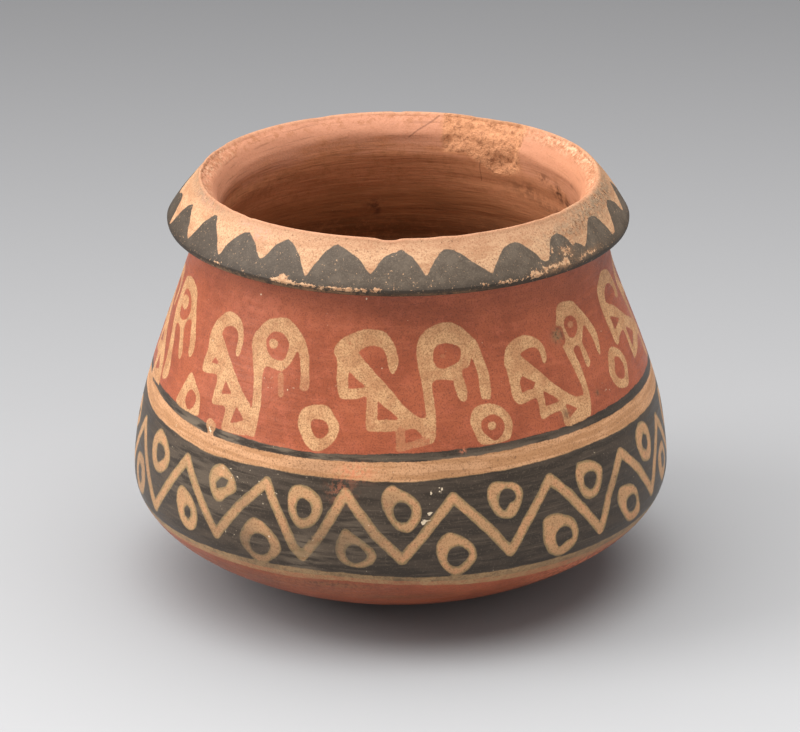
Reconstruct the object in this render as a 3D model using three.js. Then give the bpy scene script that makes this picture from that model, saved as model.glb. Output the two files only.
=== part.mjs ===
// A miniature jar: a small hand-built clay pot with a rounded bottom, walls that lean in
// from a low, wide belly, and a thick bevelled flange round the mouth.
// It is built as the potter builds it: a bowl, four coils and the flange. Each member sits
// on the bevelled edge of the one below it, along one sloping joint.
// Lengths are millimetres. +Z is up, -Y is the front, and the origin is the middle of the
// flat spot that the jar rests on.

import * as THREE from 'three';

// Outside of the body
const BELLY_RADIUS = 40;
const BELLY_HEIGHT = 16.5;
const NECK_RADIUS = 30.7;
const NECK_HEIGHT = 54.8;
const REST_RADIUS = 15;

// How far the outside runs on before it curves away
const BASE_RUN_OUT = 13;
const BASE_LIFT = 3.9;
const BELLY_RUN_DOWN = 6.9;
const BELLY_RUN_UP = 14.6;
const NECK_RUN_DOWN = 5.5;
const NECK_HOLLOW = 2;

// Thickness of the clay
const WALL_THICKNESS = 4;
const FLOOR_THICKNESS = 5;
const FLOOR_RUN_OUT = 23;

// Flange round the mouth, which starts at the top of the neck
const FLANGE_REACH = 3.4;
const FLANGE_DROP = 0.5;
const FLANGE_HEIGHT = 7.6;
const FLANGE_EDGE = 1.2;
const FLANGE_CROWN = 0.3;
const LIP_RADIUS = 29.3;
const LIP_THICKNESS = 0.9;
const MOUTH_FLARE = 2.6;

// Joints between the clay members
const BOWL_HEIGHT = 10;
const JOINT_LAP = 2.4;

// The soft mouth settled before firing: it leans, and it sits off the jar's axis
const MOUTH_LEAN_DEGREES = 1.5;
const MOUTH_LEAN_TOWARDS_DEGREES = 63;
const MOUTH_SHIFT = 0.5;

// Facets
const SEGMENTS = 72;
const BOWL_STEPS = 7;
const COIL_STEPS = 4;
const FLANGE_CURVE_STEPS = 3;

// Coils of the wall from the bowl to the flange, with the colour that shows on each
const COILS = [
  { name: 'belly_coil', color: 0x40372f },
  { name: 'lower_shoulder_coil', color: 0xa8714f },
  { name: 'upper_shoulder_coil', color: 0xa04d35 },
  { name: 'neck_coil', color: 0x9c4730 },
];

// Heights that the members share
const COIL_HEIGHT = (NECK_HEIGHT - BOWL_HEIGHT) / COILS.length;
const SETTLING_START = NECK_HEIGHT - COIL_HEIGHT + JOINT_LAP;
const FLANGE_FOOT = NECK_HEIGHT - FLANGE_DROP;
const LIP_TOP = FLANGE_FOOT + FLANGE_HEIGHT;

// The outside and the inside of the body. A point's x is its distance from the axis and
// its y its height. Both sides stand upright at the belly.
const outside = new THREE.Path()
  .moveTo(REST_RADIUS, 0)
  .bezierCurveTo(
    REST_RADIUS + BASE_RUN_OUT, BASE_LIFT,
    BELLY_RADIUS, BELLY_HEIGHT - BELLY_RUN_DOWN,
    BELLY_RADIUS, BELLY_HEIGHT,
  );
addWall(outside, BELLY_RADIUS, NECK_RADIUS, NECK_HEIGHT);

const innerBelly = BELLY_RADIUS - WALL_THICKNESS;
const innerNeck = NECK_RADIUS - WALL_THICKNESS;
const inside = new THREE.Path()
  .moveTo(0, FLOOR_THICKNESS)
  .bezierCurveTo(
    FLOOR_RUN_OUT, FLOOR_THICKNESS,
    innerBelly, BELLY_HEIGHT - BELLY_RUN_DOWN,
    innerBelly, BELLY_HEIGHT,
  );
addWall(inside, innerBelly, innerNeck, NECK_HEIGHT + JOINT_LAP);

// One side of the wall, which leans in from the belly and hollows under the neck
function addWall(side, belly, neck, neckHeight) {
  side.bezierCurveTo(
    belly, BELLY_HEIGHT + BELLY_RUN_UP,
    neck - NECK_HOLLOW, neckHeight - NECK_RUN_DOWN,
    neck, neckHeight,
  );
}

// How far along a side a height lies, as a share of the side's length, found by halving
function shareAtHeight(side, height) {
  let low = 0;
  let high = 1;
  for (let halving = 0; halving < 30; halving += 1) {
    const middle = (low + high) / 2;
    if (side.getPoint(middle).y < height) low = middle;
    else high = middle;
  }
  return high;
}

// Evenly spaced points along a side from one height to another, both ends included
function pointsBetween(side, fromHeight, toHeight, steps) {
  const from = shareAtHeight(side, fromHeight);
  const to = shareAtHeight(side, toHeight);
  return Array.from({ length: steps + 1 }, (_, step) =>
    side.getPoint(THREE.MathUtils.lerp(from, to, step / steps)));
}

// The bowl starts and ends on the axis. Its rim is the lowest joint.
function bowlSection() {
  return [
    new THREE.Vector2(0, 0),
    ...pointsBetween(outside, 0, BOWL_HEIGHT, BOWL_STEPS),
    ...pointsBetween(inside, BOWL_HEIGHT + JOINT_LAP, FLOOR_THICKNESS, BOWL_STEPS),
  ];
}

// A coil goes up the outside, over its top joint, down the inside and back along its foot
// joint. The joints rise inwards by the lap.
function coilSection(foot) {
  const top = foot + COIL_HEIGHT;
  const outer = pointsBetween(outside, foot, top, COIL_STEPS);
  const inner = pointsBetween(inside, top + JOINT_LAP, foot + JOINT_LAP, COIL_STEPS);
  return [...outer, ...inner, outer[0]];
}

// The flange hangs out over the neck to a rounded edge, slopes in and up to a thin lip, and
// flares down into the mouth. Its foot joint closes the section.
function flangeSection() {
  const edgeRadius = NECK_RADIUS + FLANGE_REACH;
  const edgeTop = FLANGE_FOOT + FLANGE_EDGE;
  const lipOuter = LIP_RADIUS + LIP_THICKNESS / 2;
  const lipInner = LIP_RADIUS - LIP_THICKNESS / 2;
  const lipShoulder = LIP_TOP - LIP_THICKNESS / 2;
  const seatHeight = NECK_HEIGHT + JOINT_LAP;
  const section = new THREE.Path()
    .moveTo(NECK_RADIUS, NECK_HEIGHT)
    .lineTo(edgeRadius - FLANGE_EDGE, FLANGE_FOOT)
    .quadraticCurveTo(edgeRadius, FLANGE_FOOT, edgeRadius, edgeTop)
    .quadraticCurveTo(
      (edgeRadius + lipOuter) / 2 + FLANGE_CROWN, (edgeTop + lipShoulder) / 2 + FLANGE_CROWN,
      lipOuter, lipShoulder,
    )
    .quadraticCurveTo(LIP_RADIUS, LIP_TOP + LIP_THICKNESS / 2, lipInner, lipShoulder)
    .quadraticCurveTo(innerNeck, seatHeight + MOUTH_FLARE, innerNeck, seatHeight);
  section.closePath();
  return section.getPoints(FLANGE_CURVE_STEPS);
}

// Turns a section round the axis, with the axis upright
function turned(section) {
  const geometry = new THREE.LatheGeometry(section, SEGMENTS);
  geometry.rotateX(Math.PI / 2);
  return geometry;
}

// A member's foot joint is the last edge of its section. Its faces are split along the other
// diagonal, so that they are the same triangles as those of the joint below.
function matchFootJoint(geometry, section) {
  const edges = section.length - 1;
  const { index } = geometry;
  for (let segment = 0; segment < SEGMENTS; segment += 1) {
    const start = (segment * edges + edges - 1) * 6;
    const [a, b, d, c] = [0, 1, 2, 3].map((corner) => index.getX(start + corner));
    [a, b, c, c, d, a].forEach((vertex, place) => index.setX(start + place, vertex));
  }
}

// Moves the neck and the flange with the settled mouth. The change grows up the neck coil,
// and above the neck all of the mouth moves alike.
function settle(geometry) {
  const lean = Math.tan(THREE.MathUtils.degToRad(MOUTH_LEAN_DEGREES));
  const towards = THREE.MathUtils.degToRad(MOUTH_LEAN_TOWARDS_DEGREES);
  const { position } = geometry.attributes;
  for (let vertex = 0; vertex < position.count; vertex += 1) {
    const x = position.getX(vertex);
    const y = position.getY(vertex);
    const z = position.getZ(vertex);
    const settled = THREE.MathUtils.smoothstep(z, SETTLING_START, FLANGE_FOOT);
    const fall = lean * (x * Math.cos(towards) + y * Math.sin(towards));
    position.setXYZ(vertex, x + MOUTH_SHIFT * settled, y, z - fall * settled);
  }
  geometry.computeVertexNormals();
}

function addMember(jar, name, color, section, hasFootJoint) {
  const geometry = turned(section);
  if (hasFootJoint) matchFootJoint(geometry, section);
  settle(geometry);
  const material = new THREE.MeshStandardMaterial({ color, roughness: 0.6, metalness: 0 });
  const member = new THREE.Mesh(geometry, material);
  member.name = name;
  jar.add(member);
}

function miniatureJar() {
  const jar = new THREE.Group();
  addMember(jar, 'base_bowl', 0x9a4731, bowlSection(), false);
  COILS.forEach(({ name, color }, place) => {
    addMember(jar, name, color, coilSection(BOWL_HEIGHT + place * COIL_HEIGHT), true);
  });
  addMember(jar, 'rim_flange', 0xc99a6b, flangeSection(), true);
  return jar;
}

export default miniatureJar();
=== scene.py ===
# The looks of a miniature jar: a small hand-built clay pot with painted birds, a zigzag
# frieze and a scalloped flange. Each clay member of the frame gets a fine mesh of the same
# form, and the painting is kept on its points as distances into the paint.
# Lengths are millimetres until a mesh is made. Angles round the jar are degrees: 0 is the
# front (-Y), and they grow towards +X.

import math

import bpy
import numpy as np
from mathutils import Matrix, Vector


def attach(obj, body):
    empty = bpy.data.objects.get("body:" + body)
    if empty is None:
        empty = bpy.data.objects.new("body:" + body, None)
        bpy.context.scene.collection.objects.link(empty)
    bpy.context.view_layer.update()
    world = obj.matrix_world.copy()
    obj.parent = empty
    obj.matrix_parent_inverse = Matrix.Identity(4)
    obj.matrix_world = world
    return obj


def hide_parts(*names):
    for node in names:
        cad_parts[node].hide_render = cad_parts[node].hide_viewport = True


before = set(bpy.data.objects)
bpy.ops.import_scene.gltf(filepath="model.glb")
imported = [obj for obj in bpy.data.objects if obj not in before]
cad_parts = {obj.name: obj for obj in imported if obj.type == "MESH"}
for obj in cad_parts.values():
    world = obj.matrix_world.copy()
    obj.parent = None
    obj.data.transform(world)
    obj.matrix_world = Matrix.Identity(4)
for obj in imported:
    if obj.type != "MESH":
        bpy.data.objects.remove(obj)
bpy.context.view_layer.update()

MM = 0.001

# Form of the clay, as in the frame. The belly is a little smaller, to stay inside it.
BELLY_RADIUS = 39.9
BELLY_HEIGHT = 16.5
NECK_RADIUS = 30.7
NECK_HEIGHT = 54.8
REST_RADIUS = 15
BASE_RUN_OUT = 13
BASE_LIFT = 3.9
BELLY_RUN_DOWN = 6.9
BELLY_RUN_UP = 14.6
NECK_RUN_DOWN = 5.5
NECK_HOLLOW_OUTSIDE = 2
NECK_HOLLOW_INSIDE = 0.5
WALL_THICKNESS = 4
FLOOR_THICKNESS = 5
FLOOR_RUN_OUT = 23
FLANGE_REACH = 3.4
FLANGE_DROP = 0.5
FLANGE_HEIGHT = 7.6
FLANGE_EDGE = 1.2
FLANGE_CROWN = 0.3
LIP_RADIUS = 29.3
LIP_THICKNESS = 0.9
MOUTH_FLARE = 2.6
BOWL_HEIGHT = 10
COIL_COUNT = 4
JOINT_LAP = 2.4
MOUTH_LEAN_DEGREES = 1.5
MOUTH_LEAN_TOWARDS_DEGREES = 63
MOUTH_SHIFT = 0.5

# The flange's outer edge sits a little to the left of its lip
EDGE_SHIFT = -0.34

COIL_HEIGHT = (NECK_HEIGHT - BOWL_HEIGHT) / COIL_COUNT
SETTLING_START = NECK_HEIGHT - COIL_HEIGHT + JOINT_LAP
FLANGE_FOOT = NECK_HEIGHT - FLANGE_DROP
EDGE_RADIUS = NECK_RADIUS + FLANGE_REACH
EDGE_TOP = FLANGE_FOOT + FLANGE_EDGE
LIP_SHOULDER = FLANGE_FOOT + FLANGE_HEIGHT - LIP_THICKNESS / 2
SEAT_HEIGHT = NECK_HEIGHT + JOINT_LAP

# Fineness of the meshes: columns round the jar, and the spacing of the rows
COLUMNS = 840
OUTER_ROW = 0.32
INNER_ROW = 0.5
BOWL_ROW = 0.45
FLOOR_ROW = 1.0
FLANGE_ROW = 0.26
LIP_ROW = 0.17

# Points on each curve of a section, before it is cut into rows
CURVE_POINTS = 400

# Edges that turn more than this are drawn sharp
SHARP_DEGREES = 25

ANGLES = np.arange(COLUMNS) * 360 / COLUMNS


def cubic(start, first, second, end):
    t = np.linspace(0, 1, CURVE_POINTS)[:, None]
    start, first, second, end = map(np.array, (start, first, second, end))
    return (
        (1 - t) ** 3 * start
        + 3 * (1 - t) ** 2 * t * first
        + 3 * (1 - t) * t**2 * second
        + t**3 * end
    )


def quadratic(start, control, end):
    start, control, end = map(np.array, (start, control, end))
    return cubic(start, start + (control - start) * 2 / 3, end + (control - end) * 2 / 3, end)


def wall(foot, belly, neck, neck_height, hollow):
    """A side of the body, from its foot curve up to the neck."""
    leaning = cubic(
        (belly, BELLY_HEIGHT),
        (belly, BELLY_HEIGHT + BELLY_RUN_UP),
        (neck - hollow, neck_height - NECK_RUN_DOWN),
        (neck, neck_height),
    )
    return np.vstack([foot, leaning[1:]])


def path_lengths(path):
    """How far along a path each of its points is."""
    return np.concatenate([[0], np.cumsum(np.hypot(*np.diff(path, axis=0).T))])


def spaced(path, spacing):
    """Evenly spaced points along a path, both ends included."""
    lengths = path_lengths(path)
    count = max(2, round(lengths[-1] / spacing) + 1)
    places = np.linspace(0, lengths[-1], count)
    return np.column_stack([np.interp(places, lengths, path[:, axis]) for axis in (0, 1)])


def between(path, low, high, spacing):
    """Evenly spaced points of a side of the body between two heights, going up."""
    ends = [[np.interp(height, path[:, 1], path[:, 0]), height] for height in (low, high)]
    inner = path[(path[:, 1] > low) & (path[:, 1] < high)]
    return spaced(np.vstack([ends[0], inner, ends[1]]), spacing)


outside = wall(
    cubic(
        (REST_RADIUS, 0),
        (REST_RADIUS + BASE_RUN_OUT, BASE_LIFT),
        (BELLY_RADIUS, BELLY_HEIGHT - BELLY_RUN_DOWN),
        (BELLY_RADIUS, BELLY_HEIGHT),
    ),
    BELLY_RADIUS,
    NECK_RADIUS,
    NECK_HEIGHT,
    NECK_HOLLOW_OUTSIDE,
)
inner_belly = BELLY_RADIUS - WALL_THICKNESS
inner_neck = NECK_RADIUS - WALL_THICKNESS
inside = wall(
    cubic(
        (0, FLOOR_THICKNESS),
        (FLOOR_RUN_OUT, FLOOR_THICKNESS),
        (inner_belly, BELLY_HEIGHT - BELLY_RUN_DOWN),
        (inner_belly, BELLY_HEIGHT),
    ),
    inner_belly,
    inner_neck,
    SEAT_HEIGHT,
    NECK_HOLLOW_INSIDE,
)


def smoothstep(value, low, high):
    share = np.clip((value - low) / (high - low), 0, 1)
    return share * share * (3 - 2 * share)


def turn_between(angle, other):
    """Signed angle from one place round the jar to another, within half a turn."""
    return (angle - other + 180) % 360 - 180


# Rows of cells in the noise, and the row that lies at the jar's foot
NOISE_ROWS = 256
NOISE_FOOT_ROW = 32


def wrapped_noise(angle, height, cells_around, cell_height, seed):
    """Smooth noise from -1 to 1 that meets itself round the jar."""
    values = np.random.default_rng(seed).uniform(-1, 1, (NOISE_ROWS, cells_around))
    across = (angle % 360) / 360 * cells_around
    up = height / cell_height + NOISE_FOOT_ROW
    column = np.floor(across).astype(int)
    row = np.floor(up).astype(int)
    x = smoothstep(across - column, 0, 1)
    y = smoothstep(up - row, 0, 1)
    column, beside = column % cells_around, (column + 1) % cells_around
    row, above = row % NOISE_ROWS, (row + 1) % NOISE_ROWS
    low = values[row, column] * (1 - x) + values[row, beside] * x
    high = values[above, column] * (1 - x) + values[above, beside] * x
    return low * (1 - y) + high * y


def soft_spots(angle, height, spots):
    """Sum of soft oval spots: (angle, height, half angle, half height, amount)."""
    total = np.zeros(np.shape(angle))
    for spot_angle, spot_height, half_angle, half_height, amount in spots:
        across = turn_between(angle, spot_angle) / half_angle
        up = (height - spot_height) / half_height
        total += amount * np.exp(-(across**2 + up**2))
    return total


# Distances to lines and loops of (angle, height) points. The number of millimetres in a
# degree is given for each place.

# Square of a length that is as good as none
NO_LENGTH_SQUARED = 1e-9

# Loops with fewer points than this keep their straight sides
SHORT_LOOP = 7

# Parts that each side of a longer loop is curved into
SIDE_PARTS = 4


def segment_distance(x, y, run, rise):
    """Distance from (x, y) to the straight line from (0, 0) to (run, rise)."""
    length_squared = np.maximum(run**2 + rise**2, NO_LENGTH_SQUARED)
    share = np.clip((x * run + y * rise) / length_squared, 0, 1)
    return np.hypot(x - share * run, y - share * rise)


def line_distance(angle, height, degree, line):
    """Distance to the nearest part of a line."""
    nearest = np.full(angle.shape, np.inf)
    for (start, low), (end, high) in zip(line[:-1], line[1:]):
        across = turn_between(angle, start) * degree
        distance = segment_distance(across, height - low, (end - start) * degree, high - low)
        nearest = np.minimum(nearest, distance)
    return nearest


def loop_distance(angle, height, degree, loop):
    """Distance into a closed loop, below 0 outside it."""
    within = np.zeros(angle.shape, bool)
    around = turn_between(angle, loop[0][0]) + loop[0][0]
    closed = list(loop) + [loop[0]]
    for (start, low), (end, high) in zip(closed[:-1], closed[1:]):
        if low != high:
            crossing = (low > height) != (high > height)
            within ^= crossing & (around < start + (end - start) * (height - low) / (high - low))
    nearest = line_distance(angle, height, degree, closed)
    return np.where(within, nearest, -nearest)


def rounded(loop):
    """A closed loop with a curve through its points."""
    if len(loop) < SHORT_LOOP:
        return loop
    points = np.array(loop, float)
    ends = np.roll(points, -1, axis=0)
    leave = (ends - np.roll(points, 1, axis=0)) / 2
    arrive = np.roll(leave, -1, axis=0)
    curve = []
    for t in np.arange(SIDE_PARTS) / SIDE_PARTS:
        curve.append(
            (2 * t**3 - 3 * t**2 + 1) * points + (t**3 - 2 * t**2 + t) * leave
            + (3 * t**2 - 2 * t**3) * ends + (t**3 - t**2) * arrive
        )
    return [tuple(point) for point in np.stack(curve, axis=1).reshape(-1, 2)]


# Where the clay is uneven

# Kinds of unevenness: (reach, cells round the jar, height of a cell, seed)
SWELL = (0.06, 9, 14, 1)
FACETS = (0.022, 22, 2.6, 2)
RIDGE_DRIFT = (1.6, 5, 40, 3)
FINGER_RIDGES = (0.17, 6, 1.9, 4)
WIPING_STROKES = (0.05, 26, 0.8, 5)
HOLLOWS = (0.3, 8, 12, 6)
SPALL_GRAINS = (0.1, 260, 0.7, 7)
SPALL_LUMPS = (0.2, 80, 1.8, 8)
SPALL_EDGE = (0.5, 120, 1.1, 12)
CHIP_ROUGHNESS = (1, 200, 0.6, 11)

# The outside stands back a little, and its wall is fuller between these heights
OUTSIDE_INSET = 0.03
FULLER = 0.12
FULLER_AT_RIGHT = 0.1
FULLER_FROM = (20, 27)
FULLER_UNTIL = (48, 54)

# Heights over which the unevenness grows, on the outside and on the inside
OUTSIDE_GROWS = (0, 4)
INSIDE_GROWS = (8, 16)

# A flake has come off the inside of the mouth, at the back right. This is the spall's
# outline, as points of (angle, height).
SPALL = [(166.4, 62.5), (166.2, 58), (165.5, 56.5), (158, 56.8), (155.5, 56), (150.5, 54.6),
         (147.5, 53.9), (141, 54.3), (137, 55.4), (137.2, 58), (137.5, 62.5)]

# Its depth, and the distances into its outline between which it gets that deep
SPALL_DEPTH = 0.45
SPALL_SLOPE = (-0.1, 2.1)

# Chips along the inner side of the lip: (angle, height, half angle, half height, depth)
LIP_CHIPS = [
    (126, 61.4, 3, 0.5, 0.2), (116, 61.3, 6, 0.6, 0.25), (101, 61.3, 7, 0.7, 0.25),
    (84, 61.4, 6, 0.6, 0.2), (264, 61.3, 9, 0.6, 0.2), (247, 61.5, 4, 0.5, 0.15),
]

# The lip is low at the front left, rises over a turn beyond it, and has a notch in front
LIP_LOWERED = 0.08
LIP_LOW_SIDE = -27
LIP_RISE = 0.15
LIP_RISE_TURN = (40, 100)
NOTCH_DEPTH = 0.3
NOTCH_ANGLE = -3.5
NOTCH_HALF_ANGLE = 3

# Worn stretches of the lip: (depth, cells round the jar, seed, noise at start, noise at full)
LIP_STRETCHES = [(0.14, 14, 9, 0, 0.8), (0.1, 90, 10, 0.2, 0.9)]

# Height over which the lip's wear fades into the flange
WEAR_FADE = 2.5


def uneven(angle, height, kind):
    """Unevenness of a kind at each place, to either side of zero."""
    reach, cells_around, cell_height, seed = kind
    return reach * wrapped_noise(angle, height, cells_around, cell_height, seed)


def spall_distance(angle, height):
    """Distance into the spall's outline, below 0 outside it."""
    return loop_distance(angle, height, math.radians(1) * inner_neck, SPALL)


def outer_offset(angle, height):
    """The burnished outside is a little out of round, with low level facets."""
    on_wall = smoothstep(height, *FULLER_FROM) * (1 - smoothstep(height, *FULLER_UNTIL))
    fuller = on_wall * (FULLER + FULLER_AT_RIGHT * np.sin(np.radians(angle)))
    return uneven(angle, height, SWELL) + uneven(angle, height, FACETS) + fuller - OUTSIDE_INSET


def inner_offset(angle, height):
    """The inside keeps the ridges that the potter's fingers left as they went round."""
    along = height + uneven(angle, height, RIDGE_DRIFT)
    ridges = uneven(angle, along, FINGER_RIDGES)
    strokes = uneven(angle, along, WIPING_STROKES)
    hollows = uneven(angle, height, HOLLOWS)
    grain = uneven(angle, height, SPALL_GRAINS) + uneven(angle, height, SPALL_LUMPS)
    into = spall_distance(angle, height) + uneven(angle, height, SPALL_EDGE)
    spall = smoothstep(into, *SPALL_SLOPE) * (SPALL_DEPTH + grain)
    chips = soft_spots(angle, height, LIP_CHIPS) * (1 + uneven(angle, height, CHIP_ROUGHNESS))
    return (ridges + strokes + hollows) * smoothstep(height, *INSIDE_GROWS) + spall + chips


def lip_wear(angle):
    """How much lower the lip is than when it was new."""
    beyond = smoothstep(np.abs(turn_between(angle, LIP_LOW_SIDE)), *LIP_RISE_TURN)
    notch = np.exp(-((turn_between(angle, NOTCH_ANGLE) / NOTCH_HALF_ANGLE) ** 4))
    wear = LIP_LOWERED - LIP_RISE * beyond + NOTCH_DEPTH * notch
    for depth, cells_around, seed, low, high in LIP_STRETCHES:
        wear = wear + depth * smoothstep(wrapped_noise(angle, 0 * angle, cells_around, 1, seed),
                                         low, high)
    return wear


def settled(x, y, height, section_height):
    """Moves the neck and the flange with the mouth, which settled before firing."""
    lean = math.tan(math.radians(MOUTH_LEAN_DEGREES))
    towards = math.radians(MOUTH_LEAN_TOWARDS_DEGREES)
    share = smoothstep(section_height, SETTLING_START, FLANGE_FOOT)
    fall = lean * (x * math.cos(towards) + y * math.sin(towards))
    return x + MOUTH_SHIFT * share, y, height - fall * share


# Meshes of the members

def ring_grid(rows, inner_share, sideways):
    """Points for rows of a section, one row for each (radius, height)."""
    angle, height = np.meshgrid(ANGLES, rows[:, 1])
    share = inner_share[:, None]
    offset = (1 - share) * outer_offset(angle, height) * smoothstep(height, *OUTSIDE_GROWS)
    radius = rows[:, :1] + (offset + share * inner_offset(angle, height))
    worn = height - lip_wear(angle) * smoothstep(height, LIP_SHOULDER - WEAR_FADE, LIP_SHOULDER)
    x = radius * np.sin(np.radians(angle)) + sideways[:, None]
    y = -radius * np.cos(np.radians(angle))
    return np.stack(settled(x, y, worn, height), axis=-1), angle, height


def grid_faces(row_count, closed):
    """Faces between neighbouring rows. A closed grid joins its last row to its first."""
    i, j = np.meshgrid(np.arange(row_count if closed else row_count - 1), np.arange(COLUMNS),
                       indexing="ij")
    above = (i + 1) % row_count
    beside = (j + 1) % COLUMNS
    corners = [i * COLUMNS + j, i * COLUMNS + beside, above * COLUMNS + beside, above * COLUMNS + j]
    return np.stack(corners, axis=-1).reshape(-1, 4).tolist()


def make_member(name, rows, inner_share, sideways, on_axis=False):
    """A closed mesh from the rows of a section, which ends on the axis for the bowl."""
    points, angle, height = ring_grid(rows, inner_share, sideways)
    vertices = (points.reshape(-1, 3) * MM).tolist()
    faces = grid_faces(len(rows), not on_axis)
    if on_axis:
        foot, top = len(vertices), len(vertices) + 1
        vertices += [(0, 0, 0), (0, 0, FLOOR_THICKNESS * MM)]
        last = (len(rows) - 1) * COLUMNS
        for column in range(COLUMNS):
            beside = (column + 1) % COLUMNS
            faces.append((foot, beside, column))
            faces.append((last + column, last + beside, top))
    mesh = bpy.data.meshes.new(name)
    mesh.from_pydata(vertices, [], faces)
    mesh.set_sharp_from_angle(angle=math.radians(SHARP_DEGREES))
    piece = bpy.data.objects.new(name, mesh)
    bpy.context.scene.collection.objects.link(piece)
    return piece, angle, height


def keep_on_points(piece, name, values):
    """Keeps a number on each point of a mesh. The points on the axis get zero."""
    attribute = piece.data.attributes.new(name, "FLOAT", "POINT")
    filled = np.zeros(len(piece.data.vertices), np.float32)
    filled[: values.size] = values.ravel()
    attribute.data.foreach_set("value", filled)


# Painting. A shape is an outline and its holes, as loops of (angle, height).

LEFT_BODY = [
    [(-45.7, 43.3), (-44.9, 42.6), (-44.1, 43.1), (-43.8, 45), (-44.4, 46.3), (-46.1, 47.5),
     (-49.3, 48), (-52.2, 47.7), (-53.8, 47), (-55.9, 45.5), (-56.5, 43.8), (-56, 42.3),
     (-56.1, 39.2), (-54, 38.7), (-49.7, 39), (-49.6, 35.7), (-48.2, 35.2), (-44.8, 35.3),
     (-44.8, 32.6), (-43, 32.2), (-36, 32.6), (-34.9, 33), (-37, 36.2), (-41.1, 38.5),
     (-44.3, 40.3), (-48.4, 42.8), (-51.1, 44.2), (-51.9, 44.8), (-51.1, 45.8), (-48.6, 46.3),
     (-46.5, 45.8), (-45.7, 44.8)],
    [(-52.2, 41.4), (-50, 40.6), (-53.3, 40.3)],
    [(-46.7, 39), (-43.8, 37.4), (-47.2, 36.8)],
    [(-41.5, 36), (-38.3, 34.4), (-42.4, 33.5)],
]
LEFT_HEAD = [
    [(-36, 32.8), (-34.8, 33), (-34.7, 37), (-35, 39.3), (-35.4, 42.3), (-30.2, 42.3),
     (-27.5, 44.3), (-26.8, 45.3), (-25.6, 44), (-25, 42), (-24.7, 40.3), (-22.5, 40.4),
     (-22.9, 43), (-23.4, 45), (-25.2, 47), (-27.9, 48.3), (-31.1, 49.2), (-34.7, 49),
     (-37.5, 48.3), (-39.3, 47.2), (-40.7, 46), (-40.6, 44.7), (-39.5, 42.7), (-38.4, 41),
     (-37.5, 38.7), (-37, 36.2), (-37.5, 34)],
    [(-36.5, 46), (-35.6, 46.8), (-34.3, 47.3), (-31.1, 47.1), (-29.5, 46.3), (-29.4, 45.3),
     (-30.2, 43.8), (-32.5, 43.5), (-34.7, 44), (-35.9, 45)],
]
MIDDLE_BODY = [
    [(-16.8, 45.8), (-15.9, 47.2), (-13.2, 48.2), (-9.5, 48.9), (-4.5, 48.9), (-2.3, 48),
     (-0.9, 46.7), (-0.2, 45.3), (-0.5, 44.2), (-1.6, 43.2), (-2.7, 44), (-3, 45), (-3.4, 46),
     (-4.8, 46.8), (-8.2, 46.9), (-10.2, 46.2), (-10, 45.7), (-5.9, 43.3), (-1.8, 40.8),
     (1.8, 38.5), (4.5, 37.3), (6, 37), (5.9, 34.5), (3.6, 35.7), (0.9, 35.7), (-6.8, 35.4),
     (-8, 36.5), (-7.9, 40), (-10, 39.8), (-13.9, 39.6), (-14.8, 40.3), (-15.5, 42.3),
     (-15.8, 44.8)],
    [(-12.5, 43.5), (-11.4, 42.8), (-7.7, 41.3), (-12.5, 41), (-12.8, 42.3)],
    [(-5.3, 39.6), (-1.8, 38), (-0.3, 37.1), (-5.3, 37)],
]
MIDDLE_HEAD = [
    [(6, 34), (7.7, 34), (8.3, 36.5), (8.2, 39.5), (8.1, 42), (13, 42), (13.3, 41.3),
     (14.2, 39.3), (15.9, 39), (16.5, 40.5), (15.6, 43), (17.5, 43.6), (18.5, 44.7),
     (19.5, 42.7), (19.7, 39.3), (20.8, 38.9), (22, 39), (22.4, 41), (22.2, 42.7),
     (21.5, 44.7), (20.6, 46.5), (18.5, 47.8), (15.8, 49), (13.1, 49.7), (9.9, 49.5),
     (6.7, 48.8), (4.9, 47.7), (4.4, 46), (4.6, 44.5), (5.2, 42.5), (5.7, 40), (6, 37)],
    [(8.8, 46), (9.9, 46.8), (12.6, 47), (15.1, 46.5), (15.8, 45.7), (15.1, 44.5),
     (12.6, 43.8), (9.9, 43.8), (8.7, 44.8)],
]
RIGHT_BODY = [
    [(27, 43), (27.6, 44.7), (29.5, 45.8), (33.1, 46.3), (35.8, 46), (38.1, 45.2),
     (39.4, 43.8), (39.5, 42.5), (38.5, 41.8), (37.9, 42.3), (37.7, 43.5), (36.7, 44.3),
     (34.5, 44.5), (32.2, 44), (32.3, 43.5), (35.8, 41.3), (39.9, 38.7), (42.6, 37.3),
     (45.8, 36), (48, 35.6), (48, 33), (44.5, 32.6), (40.4, 32.7), (40.1, 34.8), (38, 35),
     (34.2, 34.7), (34, 37.7), (29.5, 37.2), (27.7, 38.7), (27.4, 42)],
    [(31.3, 41), (34.5, 39.7), (33.5, 39), (30.4, 38.8), (30.2, 40.3)],
    [(36.2, 38.3), (38.8, 37.2), (40.5, 36.3), (36, 36.2)],
    [(41.7, 35.8), (45, 34.5), (42, 33.6)],
]
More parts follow.
